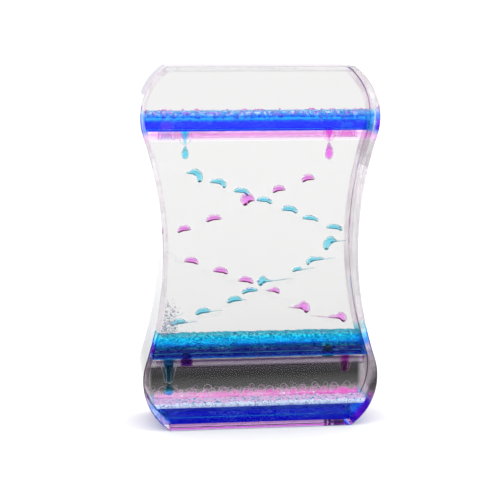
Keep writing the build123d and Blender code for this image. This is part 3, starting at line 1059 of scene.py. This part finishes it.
@dataclass
class Fittings:
    """Nozzles, drains and filling plugs."""

    tints: tuple[Colour, Colour] = ((0.93, 0.99, 1.0), (1.0, 0.9, 0.98))
    # colours of the painted outlines on the nozzles and drains
    rims: tuple[Colour, Colour] = ((0.7, 0.95, 1.0), (0.9, 0.45, 0.8))
    # tints of the sunk nozzles, also used for their painted outlines
    sunk_tints: tuple[Colour, Colour] = ((0.5, 0.2, 0.7), (0.12, 0.4, 0.45))
    # the plugs' outline is painted dark
    plug: FittingAcrylic = FittingAcrylic("plug_sheet", (0.78, 0.82, 0.9), grey(0.4), 0.4, 1.08)

    def dress(self) -> None:
        """Dresses every fitting. The lower drip nozzles are sunk in the middle pools."""
        plug = self.plug.build()
        for lane, tint, rim, sunk in zip((FRONT, BACK), self.tints, self.rims, self.sunk_tints):
            clear = FittingAcrylic(f"{lane.dye}_fitting", tint, rim).build()
            for kind in ("upper_drip_nozzle", "upper_drain_funnel", "lower_drain_funnel"):
                dress(f"{lane.name}_{kind}", clear)
            sunk_nozzle = FittingAcrylic(f"{lane.dye}_sunk_nozzle", sunk, sunk, 0.2).build()
            dress(f"{lane.name}_lower_drip_nozzle", sunk_nozzle)
            dress(f"{lane.name}_fill_plug", plug)


# ---- liquids


Step = tuple[int, int, int]
ACROSS, BACKWARD, UPWARD = (1, 0, 0), (0, 1, 0), (0, 0, 1)


@dataclass
class Pool:
    """A body of coloured water that fills a lane from wall to wall, with a bubbly top."""

    name: str
    lane: Lane
    low_z: float
    high_z: float
    seed: int
    dome_count: int = 420
    dome_radii: Span = (0.5, 1.3)
    dome_height: float = 0.5
    layers: int = 8
    inset: float = FILM
    columns: int = 200
    rows: int = 32

    def top(self, x: np.ndarray, y: np.ndarray) -> np.ndarray:
        """Makes the domes on the top.

        Args:
            x: how far to the right each point is.
            y: how far back each point is.

        Returns:
            The height of the top at each point.
        """
        pick = Random(self.seed)
        reach = OUTLINE.half_width(self.high_z, WALL)
        rise = np.zeros_like(x)
        for _ in range(self.dome_count):
            cx, cy = pick.uniform(-reach, reach), pick.uniform(self.lane.near_y, self.lane.far_y)
            radius = pick.uniform(*self.dome_radii)
            inside = 1 - ((x - cx) ** 2 + (y - cy) ** 2) / radius**2
            rise = np.maximum(rise, np.sqrt(np.clip(inside, 0, None)) * radius * self.dome_height)
        return self.high_z - self.dome_radii[1] * self.dome_height / 2 + rise

    def shell(self) -> Shell:
        """The outer surface of the pool, over a lattice of columns, rows and layers.

        Returns:
            Its points and faces.
        """
        across = np.linspace(-1, 1, self.columns + 1)
        back = np.linspace(self.lane.near_y + self.inset, self.lane.far_y - self.inset, self.rows + 1)
        flat_x = across[:, None] * np.full(self.rows + 1, OUTLINE.half_width(self.high_z, WALL + self.inset))
        tops = self.top(flat_x, np.broadcast_to(back, flat_x.shape))
        number: dict[Step, int] = {}
        points: list[tuple[float, float, float]] = []

        def corner(u: int, w: int, v: int) -> int:
            """Numbers a lattice point, and makes it when it is first asked for.

            Args:
                u: its column.
                w: its row.
                v: its layer.

            Returns:
                Its number.
            """
            if (u, w, v) not in number:
                number[u, w, v] = len(points)
                z = self.low_z + (tops[u, w] - self.low_z) * v / self.layers
                half = OUTLINE.half_width(min(z, self.high_z), WALL + self.inset)
                points.append((across[u] * half, back[w], z))
            return number[u, w, v]

        def quad(start: Step, first: Step, second: Step) -> list[int]:
            """The face from start by the first step, then by the second, and back."""
            steps = (0, 0, 0), first, map(sum, zip(first, second)), second
            return [corner(*map(sum, zip(start, step))) for step in steps]

        faces = []
        for u in range(self.columns):
            for w in range(self.rows):
                faces += [quad((u, w, 0), BACKWARD, ACROSS), quad((u, w, self.layers), ACROSS, BACKWARD)]
            for v in range(self.layers):
                faces += [quad((u, 0, v), ACROSS, UPWARD), quad((u, self.rows, v), UPWARD, ACROSS)]
        for w in range(self.rows):
            for v in range(self.layers):
                faces += [quad((0, w, v), UPWARD, BACKWARD), quad((self.columns, w, v), BACKWARD, UPWARD)]
        return np.array(points), faces


@dataclass
class Liquids:
    """The six pools, and the water that stands in four fittings."""

    bases: tuple[float, float, float] = (UPPER_DIVIDER[1], LOWER_DIVIDER[1], WALL)
    tops: tuple[Span, Span, Span] = ((112.4, 110.1), (29.7, 28.1), (8.2, 8.2))
    dyes: tuple[tuple[Dye, Dye, Dye], ...] = (
        (CYAN_TOP, CYAN_DEEP, CYAN_BASE),
        (PINK_TOP, PINK_DEEP, PINK_BASE),
    )
    seeds: tuple[int, int] = (11, 21)
    darks: tuple[Colour, Colour] = ((0.75, 0.8, 0.85), (0.75, 0.6, 0.75))
    pales: tuple[Colour, Colour] = ((0.3, 0.75, 1.0), (1.0, 0.6, 0.97))
    pale_cover: float = 0.35
    low_share: float = 0.1
    foamed_cover: float = 0.4
    nozzle_water: Profile = ((0.4, 102.55), (0.5, 103.6), (1.75, 107.33))
    drain_water: Profile = ((0.85, 16.75), (1.2, 20.0), (2.25, 25.93))
    core_share: float = 2.5
    # painted shade under the water in the fittings
    core_underside_shade: Colour = grey(0.9)
    clearance: float = 0.15
    over_fitting: float = 0.5
    drain_radii: Span = (2.9, 1.4)
    drain_height: float = 6.0
    nozzle_radii: Span = (2.2, 0.95)
    nozzle_top: float = 27.5

    def build(self) -> list[Piece]:
        """Builds the pools of both lanes.

        Returns:
            The pieces.
        """
        made = []
        for number, lane in enumerate((FRONT, BACK)):
            top_dye, deep_dye, base_dye = self.dyes[number]
            nozzle, drain = -lane.hand * NOZZLE_X, -lane.hand * DRAIN_X
            upper, middle, lower = (
                Pool(f"{lane.dye}_{level}_water", lane, base + FILM, tops[number], self.seeds[number] + step)
                for step, (level, base, tops) in enumerate(
                    zip(("upper", "middle", "lower"), self.bases, self.tops)
                )
            )
            made += [
                self.pool(upper, top_dye, drain, self.drain_room(upper)),
                self.core(f"{lane.dye}_nozzle_water", lane, nozzle, top_dye, self.nozzle_water),
                self.pool(middle, deep_dye, nozzle, self.nozzle_room(middle)),
                self.core(f"{lane.dye}_drain_water", lane, drain, base_dye, self.drain_water),
                self.pool(lower, base_dye),
            ]
        return made

    def drain_room(self, upper: Pool) -> Profile:
        """The radii and heights, upwards, of the room for a drain funnel in an upper pool."""
        (wide, narrow), tall = self.drain_radii, upper.high_z - self.over_fitting - UPPER_DIVIDER[1]
        top_radius = wide + (narrow - wide) * tall / self.drain_height
        return (wide, UPPER_DIVIDER[1] + self.clearance), (top_radius, UPPER_DIVIDER[1] + tall)

    def nozzle_room(self, middle: Pool) -> Profile:
        """The radii and heights, upwards, of the room for a drip nozzle in a middle pool."""
        wide, narrow = self.nozzle_radii
        top = min(self.nozzle_top, middle.high_z - self.over_fitting)
        return (wide, LOWER_DIVIDER[1] + self.clearance), (narrow + self.nozzle_top - top, top)

    def core(self, name: str, lane: Lane, x: float, dye: Dye, profile: Profile) -> Piece:
        """Builds the water inside a fitting.

        Args:
            name: of the piece.
            lane: that it is in.
            x: where the fitting stands.
            dye: its dye, which reads stronger in so thin a column.
            profile: the water's radii and heights, upwards.

        Returns:
            The piece.
        """
        points, faces = turned(profile)
        strong = Dye(tuple(part * self.core_share for part in dye.takes))
        finish = DyedWater(name, LiquidForm.DROP, strong, self.core_underside_shade).build()
        piece = new_piece(name, points + (x, lane.middle_y, 0), faces, finish)
        crease(piece)
        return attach(piece, "tank")

    def pool(self, pool: Pool, dye: Dye, x: float = 0.0, room: Profile = ()) -> Piece:
        """Builds a pool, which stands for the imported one.

        Args:
            pool: its form.
            dye: its dye.
            x: where a fitting stands in it.
            room: the radii and heights, upwards, of the room that the fitting takes.

        Returns:
            The piece.
        """
        lane = (FRONT, BACK).index(pool.lane)
        dark, pale = self.darks[lane], self.pales[lane]
        look = FrothLook(pool.low_z, pool.high_z, dark, pale, self.pale_cover, low_share=self.low_share)
        cover = self.foamed_cover if dye is PINK_BASE else 1.0
        finish = DyedWater(pool.name, LiquidForm.POOL, dye, look=look, top_cover=cover).build()
        pile = MeshPile()
        pile.add(*pool.shell())
        if room:
            points, faces = turned(room)
            pile.add(points + (x, pool.lane.middle_y, 0), [face[::-1] for face in faces])
        piece = pile.piece(pool.name, finish)
        crease(piece)
        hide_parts(pool.name.replace("water", "pool"))
        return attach(piece, "tank")


@dataclass
class FrothBody:
    """The wet froth between a pool and the oil."""

    level: str
    lane: Lane
    low_z: float
    high_z: float
    seed: int
    look: FrothLook
    top_cover: float
    domes: int = 700
    dome_radii: Span = (0.4, 0.9)
    dome_height: float = 0.45
    layers: int = 4
    inset: float = FILM * 1.6

    def build(self) -> Piece:
        """Builds the layer.

        Returns:
            The piece.
        """
        node = f"{self.lane.dye}_{self.level}_froth"
        span = self.low_z, self.high_z
        domes = self.domes, self.dome_radii, self.dome_height
        layer = Pool(f"{node}_body", self.lane, *span, self.seed, *domes, self.layers, self.inset)
        finish = DyedWater(layer.name, LiquidForm.FROTH, None, look=self.look, top_cover=self.top_cover)
        piece = new_piece(layer.name, *layer.shell(), finish.build())
        crease(piece)
        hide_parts(node)
        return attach(piece, "tank")


@dataclass
class FrothBeads:
    """A scatter of small beads in the froth on a pool, more of them towards the front."""

    level: str
    lane: Lane
    low_z: float
    high_z: float
    count: int
    radii: Span
    seed: int
    finish: FrothWater
    crowding: float = 1.4
    sunk: float = 0.4
    flattest: float = 0.75

    def build(self) -> Piece:
        """Builds the beads.

        Returns:
            The piece.
        """
        pick = Random(self.seed)
        ball, faces = unit_ball(2)
        pile = MeshPile()
        for _ in range(self.count):
            radius = pick.uniform(*self.radii)
            z = pick.uniform(self.low_z + radius * self.sunk, self.high_z - radius)
            reach = OUTLINE.half_width(z, WALL) - radius - FILM
            near, far = self.lane.near_y + radius + FILM, self.lane.far_y - radius - FILM
            depth = pick.random() ** self.crowding
            centre = (pick.uniform(-reach, reach), near + (far - near) * depth, z)
            flatten = pick.uniform(self.flattest, 1.0)
            pile.add(ball * (radius, radius, radius * flatten) + centre, faces)
        piece = pile.piece(f"{self.lane.dye}_{self.level}_froth_beads", self.finish.build())
        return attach(piece, "tank")


@dataclass(frozen=True)
class FoamLayer:
    """One kind of foam bubble: how many, how large, how high they lie, and their skin."""

    count: int
    radii: Span
    levels: Span
    overlap: float
    skin: FoamSkin


@dataclass
class Foam:
    """Foam on the pink water at the base: a mass of small bubbles, and thin large ones on top."""

    layers: tuple[FoamLayer, ...]
    seed: int = 71
    tries: int = 9000
    smallness: float = 1.6
    off_wall: float = 0.2

    def build(self) -> list[Piece]:
        """Builds the foam.

        Returns:
            The pieces.
        """
        pick = Random(self.seed)
        ball, faces = unit_ball(3)
        made = []
        for layer in self.layers:
            pile = MeshPile()
            placed: list[tuple[float, float, float, float]] = []
            smallest, largest = layer.radii
            for _ in range(self.tries):
                if len(placed) == layer.count:
                    break
                radius = smallest + (largest - smallest) * pick.random() ** self.smallness
                z = pick.uniform(layer.levels[0] + radius, layer.levels[1] - radius)
                reach = OUTLINE.half_width(z, WALL) - radius - self.off_wall
                x, y = pick.uniform(-reach, reach), pick.uniform(BACK.near_y + radius, BACK.far_y - radius)
                spot = x, y, z
                if all(math.dist(spot, at) > (radius + size) * layer.overlap for *at, size in placed):
                    placed.append((*spot, radius))
                    pile.add(ball * radius + spot, faces)
            piece = pile.piece(layer.skin.name, layer.skin.build())
            made.append(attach(piece, "tank"))
        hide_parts("pink_lower_bubbles")
        return made


@dataclass
class WallBubbles:
    """Fine air bubbles that cling to the left wall above the middle pool."""

    centre: Span = (-33.8, 38.5)
    spread: Span = (2.2, 4.25)
    depth: float = 0.6
    levels: Span = (34.4, 48.0)
    count: int = 420
    radii: Span = (0.09, 0.3)
    smallness: float = 1.8
    off_sheet: float = 0.1
    seed: int = 5

    def build(self) -> Piece:
        """Builds the bubbles.

        Returns:
            The piece.
        """
        pick = Random(self.seed)
        ball, faces = unit_ball(3)
        pile = MeshPile()
        low, high = self.levels
        while pile.count < self.count * len(ball):
            radius = self.radii[0] + (self.radii[1] - self.radii[0]) * pick.random() ** self.smallness
            x, z = (at + pick.gauss(0, reach) for at, reach in zip(self.centre, self.spread))
            y = FRONT.near_y + self.off_sheet + radius + abs(pick.gauss(0, self.depth))
            within = abs(x) < OUTLINE.half_width(z, WALL) - radius - self.off_sheet
            if within and low < z - radius and z + radius < high:
                pile.add(ball * radius + (x, y, z), faces)
        piece = pile.piece("wall_bubbles", AirBubble("air_bubble").build())
        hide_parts("clinging_bubbles")
        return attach(piece, "tank")


# ---- drops


@dataclass(frozen=True)
class DropForm:
    """The form of one rolling drop.

    length runs along its back, and from the share bend on, its head turns down by turn degrees over
    the nose of the tread. tail is the length of the film that it trails, plump is its height as a
    share of the usual, and neck is how thick its hind part is as a share of its head. lift is how
    far it stands above its packed place, and ahead is how far it has rolled on from there.
    """

    length: float
    turn: float
    bend: float
    tail: float = 0.0
    plump: float = 1.0
    neck: float = 1.0
    lift: float = 0.0
    ahead: float = 0.0


@dataclass
class RollingDrops:
    """The drops on one ramp, which head the lane's way on the upper ramp and back on the lower."""

    level: str
    lane: Lane
    forms: tuple[DropForm, ...]
    water: DyedWater
    height: float = 2.0
    width: float = 5.0
    tilt: float = 6.7
    curl: float = 1.3
    hump: float = 0.85
    fullness: float = 2.2
    bluntness: float = 0.6
    head_swell: float = 0.1
    flank: float = 0.8
    foot: float = 0.12
    belly: float = 0.5
    neck_lead: float = 0.2
    neck_span: float = 0.3
    tail_rise: float = 0.1
    film_heights: Span = (0.02, 0.32)
    film_width: float = 0.6
    film_top: float = 0.8
    film_narrowing: float = 0.9
    film_thinning: float = 0.5
    film_lap: float = 0.8
    film_steps: int = 10
    stations: int = 28
    around: int = 28

    def drop(self, form: DropForm) -> Shell:
        """One drop about the middle of its base, heading to +X and lying level.

        Args:
            form: what it looks like.

        Returns:
            Its points and faces.
        """
        share = np.linspace(0, 1, self.stations + 1)
        past = np.clip((share - form.bend) / (1 - form.bend), 0, 1)
        angle = -np.radians(form.turn) * past**self.curl
        step = form.length / self.stations
        x = np.concatenate([[0], np.cumsum(np.cos(angle[:-1]) * step)]) - form.length / 2
        z = np.concatenate([[0], np.cumsum(np.sin(angle[:-1]) * step)])
        hump = 1 - np.abs(2 * share**self.hump - 1) ** self.fullness
        size = np.clip(hump, 0, None) ** self.bluntness * (1 + self.head_swell * (2 * share - 1))
        headward = np.clip((share - form.bend + self.neck_lead) / self.neck_span, 0, 1)
        size = size * (form.neck + (1 - form.neck) * headward**2 * (3 - 2 * headward))
        points = []
        for at in range(1, self.stations):
            up = np.array([-math.sin(angle[at]), 0, math.cos(angle[at])])
            tall = self.height * form.plump * size[at]
            wide = self.width / 2 * size[at] ** self.flank
            for turn in np.linspace(0, 2 * math.pi, self.around, endpoint=False):
                rise = math.sin(turn)
                rise *= 1.0 if rise > 0 else self.foot + self.belly * past[at]
                spine = np.array([x[at], wide * math.cos(turn), z[at]])
                points.append(spine + up * tall * (rise + self.foot))
        points += [np.array([x[0], 0, z[0] + self.tail_rise]), np.array([x[-1], 0, z[-1]])]
        return np.array(points), capped_rings(self.stations - 1, self.around)

    def film(self, form: DropForm) -> Shell:
        """The thin film that a drop trails on its tread, which narrows to its end.

        Args:
            form: what the drop looks like.

        Returns:
            Its points and faces.
        """
        start = -form.length / 2 + self.film_lap
        share = np.linspace(0, 1, self.film_steps + 1)
        half = self.width / 2 * self.film_width * np.sqrt(1 - share * self.film_narrowing)
        low, high = self.film_heights
        thick = high * (1 - self.film_thinning * share)
        corners = []
        for x, side, top in zip(start - share * (form.tail + self.film_lap), half, thick):
            inner = side * self.film_top
            corners += [(x, -side, low), (x, side, low), (x, inner, top), (x, -inner, top)]
        last = self.film_steps * 4
        faces = [[0, 1, 2, 3]]
        for ring in range(0, last, 4):
            for side in range(4):
                a, b = ring + side, ring + (side + 1) % 4
                faces.append([b, a, a + 4, b + 4])
        faces.append([last + 3, last + 2, last + 1, last])
        return np.array(corners), faces

    def build(self) -> Piece:
        """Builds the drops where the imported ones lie.

        Returns:
            The piece.
        """
        node = f"{self.lane.dye}_{self.level}_drops"
        heading = self.lane.hand if self.level == "upper" else -self.lane.hand
        parts = sorted(loose_parts(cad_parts[node]), key=lambda part: heading * part[:, 0].mean())
        sine, cosine = math.sin(math.radians(self.tilt)), math.cos(math.radians(self.tilt))
        pile = MeshPile()
        for part, form in zip(parts, self.forms, strict=True):
            low, high = part.min(axis=0), part.max(axis=0)
            base = low[2] + (high[0] - low[0]) / 2 * sine + form.lift
            for points, faces in [self.drop(form)] + ([self.film(form)] if form.tail > 0 else []):
                x, y, z = points.T
                along = x * cosine + z * sine + form.ahead
                place = (
                    (low[0] + high[0]) / 2 + heading * along,
                    (low[1] + high[1]) / 2 + y,
                    base + z * cosine - x * sine,
                )
                pile.add(np.column_stack(place), faces if heading > 0 else [face[::-1] for face in faces])
        piece = pile.piece(node.replace("drops", "rolling_drops"), self.water.build())
        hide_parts(node)
        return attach(piece, node)


@dataclass
class HangingDrop:
    """A drop that hangs from a fitting, or falls from one."""

    kind: str
    lane: Lane
    profile: Profile
    water: DyedWater

    def build(self) -> Piece:
        """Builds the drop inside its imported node's box.

        Returns:
            The piece.
        """
        node = f"{self.lane.dye}_{self.kind}_drop"
        low, high = (np.array(corner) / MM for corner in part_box(node))
        centre = (low + high) / 2
        radius, tall = (high[0] - low[0]) / 2, high[2] - low[2]
        points, faces = turned(tuple((r * radius, low[2] + share * tall) for r, share in self.profile))
        points += (centre[0], centre[1], 0)
        piece = new_piece(f"{node}_form", points, faces, self.water.build())
        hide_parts(node)
        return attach(piece, node)


# ---- oil


@dataclass
class Oils:
    """The clear oil that fills the rest of both lanes."""

    body: Dye = Dye((0.6, 0.6, 0.7))

    def dress(self) -> None:
        """Dresses the oil."""
        clear = ClearOil("clear_oil_body", self.body).build()
        for lane in (FRONT, BACK):
            for level in ("upper", "middle", "lower"):
                dress(f"{lane.name}_{level}_oil", clear)


# ---- studio


@dataclass
class Studio:
    """Camera, floor and light."""

    distance: float = 550.0
    azimuth: float = -7.0
    elevation: float = 8.5
    focal_pixels: float = 1507.0
    shift: Span = (-0.0129, -0.0118)
    floor_drop: float = 0.15
    floor_half: float = 30000.0
    sky: float = 1.62
    horizon: float = 1.05
    backdrop: float = 1.05

    def camera(self) -> None:
        """Sets the camera at the photograph's angle."""
        data = bpy.data.cameras.new("camera")
        data.sensor_width = SENSOR_WIDTH
        data.lens = self.focal_pixels / PICTURE_PIXELS * SENSOR_WIDTH
        data.shift_x, data.shift_y = self.shift
        data.clip_start, data.clip_end = 0.01, 200.0
        camera = bpy.data.objects.new("camera", data)
        bpy.context.scene.collection.objects.link(camera)
        around, up = math.radians(self.azimuth), math.radians(self.elevation)
        back = Vector((math.sin(around) * math.cos(up), -math.cos(around) * math.cos(up), math.sin(up)))
        camera.location = Vector((0, 0, OUTLINE.height / 2 * MM)) + back * self.distance * MM
        camera.rotation_mode = "QUATERNION"
        camera.rotation_quaternion = (-back).to_track_quat("-Z", "Y")
        bpy.context.scene.camera = camera

    def floor(self) -> None:
        """Lays the floor just under the base."""
        sides = (-1, -1), (1, -1), (1, 1), (-1, 1)
        corners = np.array([(x * self.floor_half, y * self.floor_half, -self.floor_drop) for x, y in sides])
        new_piece("studio_floor", corners, [[0, 1, 2, 3]], PaleFloor().build(), smooth=False)

    def light(self) -> None:
        """Sets an even sky, which is duller towards the horizon and white to the camera."""
        world = bpy.data.worlds.new("studio_sky")
        bpy.context.scene.world = world
        graph = Graph(world)
        _, _, upward = graph.parts(graph.add("TexCoord").outputs["Generated"])
        glow = graph.fit(upward, 0.0, 0.4, self.horizon, self.sky)
        sky = graph.out("Background", {"Color": WHITE, "Strength": glow})
        white = graph.out("Background", {"Color": WHITE, "Strength": self.backdrop})
        seen = graph.add("LightPath").outputs["Is Camera Ray"]
        graph.add("OutputWorld", {"Surface": graph.mix(seen, sky, white)})

    def build(self) -> None:
        """Sets the whole studio and how light is worked out."""
        self.camera()
        self.floor()
        self.light()
        bpy.context.scene.view_settings.view_transform = "Standard"
        cycles = bpy.context.scene.cycles
        cycles.max_bounces = 32
        cycles.transmission_bounces = 28
        cycles.transparent_max_bounces = 96
        cycles.glossy_bounces = 12
        cycles.diffuse_bounces = 3
        cycles.min_transparent_bounces = 32


# ---- the whole


CYAN_UPPER_LOOK = FrothLook(
    low_z=112.1,
    high_z=114.2,
    dark=(0.01, 0.3, 0.85),
    pale=(0.6, 0.95, 1.0),
    pale_cover=0.55,
    tints=((0.006, 0.4, 0.95), (0.6, 0.93, 1.0)),
    low_share=0.5,
    per_mm=0.8,
)
PINK_UPPER_LOOK = FrothLook(
    low_z=110.1,
    high_z=113.7,
    dark=(0.8, 0.5, 0.9),
    pale=(1.0, 0.8, 0.98),
    pale_cover=0.4,
    tints=((0.95, 0.5, 0.98), (0.98, 0.88, 0.98)),
    per_mm=0.8,
)
CYAN_MIDDLE_LOOK = FrothLook(
    low_z=29.4,
    high_z=34.0,
    dark=(0.001, 0.2, 0.5),
    pale=(0.03, 0.78, 0.88),
    pale_cover=0.6,
    per_mm=0.75,
    line=0.04,
    stops=(
        (29.4, (0.01, 0.06, 0.6)), (30.4, (0.01, 0.2, 0.86)), (31.2, (0.005, 0.44, 0.96)),
        (32.0, (0.004, 0.6, 0.96)), (33.0, (0.004, 0.5, 0.76)), (34.0, (0.03, 0.58, 0.7)),
    ),
    sway=0.9,
)
PINK_MIDDLE_LOOK = FrothLook(
    low_z=27.8,
    high_z=29.3,
    dark=(0.6, 0.1, 0.6),
    pale=(1.0, 0.6, 0.97),
    pale_cover=0.3,
    tints=((0.9, 0.3, 0.9), (0.95, 0.5, 0.95)),
)
CYAN_LOWER_LOOK = FrothLook(
    low_z=8.0,
    high_z=9.6,
    dark=(0.05, 0.4, 0.8),
    pale=(0.82, 0.95, 1.0),
    pale_cover=0.9,
    tints=((0.05, 0.5, 0.9), (0.6, 0.85, 0.95)),
    low_share=0.5,
    milk=(0.5, 0.9),
    per_mm=0.8,
    line=0.05,
    glow=0.55,
    crown=(1.0, 0.68, 0.88),
)

FOAM_MASS = FoamLayer(
    count=420,
    radii=(0.35, 1.05),
    levels=(7.2, 10.7),
    overlap=0.75,
    skin=FoamSkin(
        "pink_foam_mass", (1.0, 0.85, 0.97), (1.0, 0.92, 0.97), (1.0, 0.33, 0.78), 0.85, 0.12, 1.3
    ),
)
FOAM_RINGS = FoamLayer(
    count=84,
    radii=(0.6, 1.8),
    levels=(8.8, 12.6),
    overlap=1.0,
    skin=FoamSkin("pink_foam_rings", (1.0, 0.95, 0.99), (1.0, 0.97, 1.0), (1.0, 0.86, 0.97), 1.1, 0.0, 2.6),
)

# the fourth value is the painted shade on a drop's underside
CYAN_DROP = DyedWater("cyan_drop_water", LiquidForm.DROP, CYAN_TOP, (0.15, 0.35, 0.42), 0.02)
PINK_DROP = DyedWater("pink_drop_water", LiquidForm.DROP, PINK_TOP, (0.25, 0.04, 0.17), 0.02)
CYAN_BEAD = DyedWater("cyan_bead_water", LiquidForm.DROP, CYAN_BEAD_DYE, grey(0.9))
PINK_BEAD = DyedWater("pink_bead_water", LiquidForm.DROP, PINK_BEAD_DYE, grey(0.9))

CYAN_UPPER_FORMS = (
    DropForm(6.4, 125.0, 0.35, neck=0.7),
    DropForm(6.0, 95.0, 0.55, plump=0.95, neck=0.85),
    DropForm(5.8, 70.0, 0.65, plump=0.85),
    DropForm(5.8, 30.0, 0.65, plump=0.85),
    DropForm(6.0, 40.0, 0.65, plump=0.95),
    DropForm(6.0, 30.0, 0.75, plump=0.8),
    DropForm(6.0, 35.0, 0.7, plump=0.85),
)
CYAN_LOWER_FORMS = (
    DropForm(6.6, 108.0, 0.36, tail=2.0, plump=1.15, neck=0.28, lift=3.6, ahead=-0.7),
    DropForm(6.6, 85.0, 0.6, tail=4.0, plump=0.85, neck=0.75),
    DropForm(3.8, 10.0, 0.6, tail=4.5, plump=0.7),
    DropForm(4.8, 60.0, 0.45, tail=8.0, plump=1.2, neck=0.5),
    DropForm(6.2, 20.0, 0.6, plump=0.75),
    DropForm(5.8, 5.0, 0.6, tail=1.5, plump=0.95),
    DropForm(5.8, 5.0, 0.6, tail=4.0, plump=0.95),
    DropForm(6.2, 10.0, 0.6, tail=4.0, plump=0.9),
)
PINK_UPPER_FORMS = (
    DropForm(5.0, 5.0, 0.6, plump=1.1),
    DropForm(5.0, 5.0, 0.6, plump=1.05),
    DropForm(4.8, 40.0, 0.3, plump=1.6),
    DropForm(6.0, 0.0, 0.6, plump=0.95),
    DropForm(5.2, 0.0, 0.6),
)
PINK_LOWER_FORMS = (
    DropForm(5.4, 5.0, 0.6),
    DropForm(5.8, 0.0, 0.6),
    DropForm(5.8, 0.0, 0.6),
    DropForm(5.2, 15.0, 0.5, plump=0.9, neck=0.6),
    DropForm(6.2, 75.0, 0.5, tail=1.5, plump=1.45, neck=0.5, ahead=-1.6),
    DropForm(6.6, 70.0, 0.6, tail=7.0, plump=1.35, neck=0.5),
)

# shares of a hanging drop's radius and height, from its lower end to its upper one
PENDANT = (
    (0.02, 0.0), (0.5, 0.04), (0.85, 0.14), (1.0, 0.3), (0.97, 0.45), (0.85, 0.6), (0.62, 0.74),
    (0.4, 0.86), (0.3, 0.95), (0.12, 1.0),
)
SPLASH = (
    (0.02, 0.0), (0.6, 0.05), (0.9, 0.18), (1.0, 0.36), (0.9, 0.56), (0.6, 0.76), (0.3, 0.9), (0.05, 1.0)
)


def main() -> None:
    """Builds the studio and every part of the timer in order."""
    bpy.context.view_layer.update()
    Studio().build()
    log.info("studio set")
    Tank().dress()
    InnerSheets().dress()
    Fittings().dress()
    log.info("sheets and fittings dressed")
    for piece in Liquids().build():
        log.info("built %s", piece.name)
    cyan_beads = FrothWater("cyan_froth_beads", (0.22, 0.86, 0.95), (0.4, 0.88, 0.95))
    pink_beads = FrothWater("pink_froth_beads", (0.97, 0.6, 0.95), (1.0, 0.8, 0.97))
    froths = (
        FrothBody("upper", FRONT, 112.1, 114.2, 41, CYAN_UPPER_LOOK, 0.85),
        FrothBody("upper", BACK, 109.8, 113.7, 42, PINK_UPPER_LOOK, 0.85),
        FrothBody("middle", FRONT, 29.4, 34.0, 43, CYAN_MIDDLE_LOOK, 0.92),
        FrothBody("middle", BACK, 27.8, 29.3, 44, PINK_MIDDLE_LOOK, 0.3),
        FrothBody("lower", FRONT, 7.9, 9.6, 45, CYAN_LOWER_LOOK, 0.95),
        FrothBeads("upper", FRONT, 112.2, 114.2, 300, (0.2, 0.45), 31, cyan_beads),
        FrothBeads("upper", BACK, 111.0, 114.6, 260, (0.3, 0.9), 32, pink_beads),
        FrothBeads("middle", FRONT, 30.4, 34.2, 520, (0.2, 0.5), 33, cyan_beads),
        FrothBeads("lower", FRONT, 8.6, 10.0, 240, (0.3, 0.65), 35, cyan_beads),
    )
    for froth in froths:
        log.info("built %s", froth.build().name)
    for layer in Foam((FOAM_MASS, FOAM_RINGS)).build():
        log.info("built %s", layer.name)
    log.info("built %s", WallBubbles().build().name)
    drops = (
        RollingDrops("upper", FRONT, CYAN_UPPER_FORMS, CYAN_DROP),
        RollingDrops("lower", FRONT, CYAN_LOWER_FORMS, CYAN_DROP),
        RollingDrops("upper", BACK, PINK_UPPER_FORMS, PINK_DROP),
        RollingDrops("lower", BACK, PINK_LOWER_FORMS, PINK_DROP),
        HangingDrop("pendant", FRONT, PENDANT, CYAN_BEAD),
        HangingDrop("pendant", BACK, PENDANT, PINK_BEAD),
        HangingDrop("drain", FRONT, SPLASH, CYAN_BEAD),
    )
    for drop in drops:
        log.info("built %s", drop.build().name)
    Oils().dress()
    log.info("oil dressed")


if __name__ == "__main__":
    logging.basicConfig(level=logging.INFO, format="%(name)s: %(message)s")
    main()
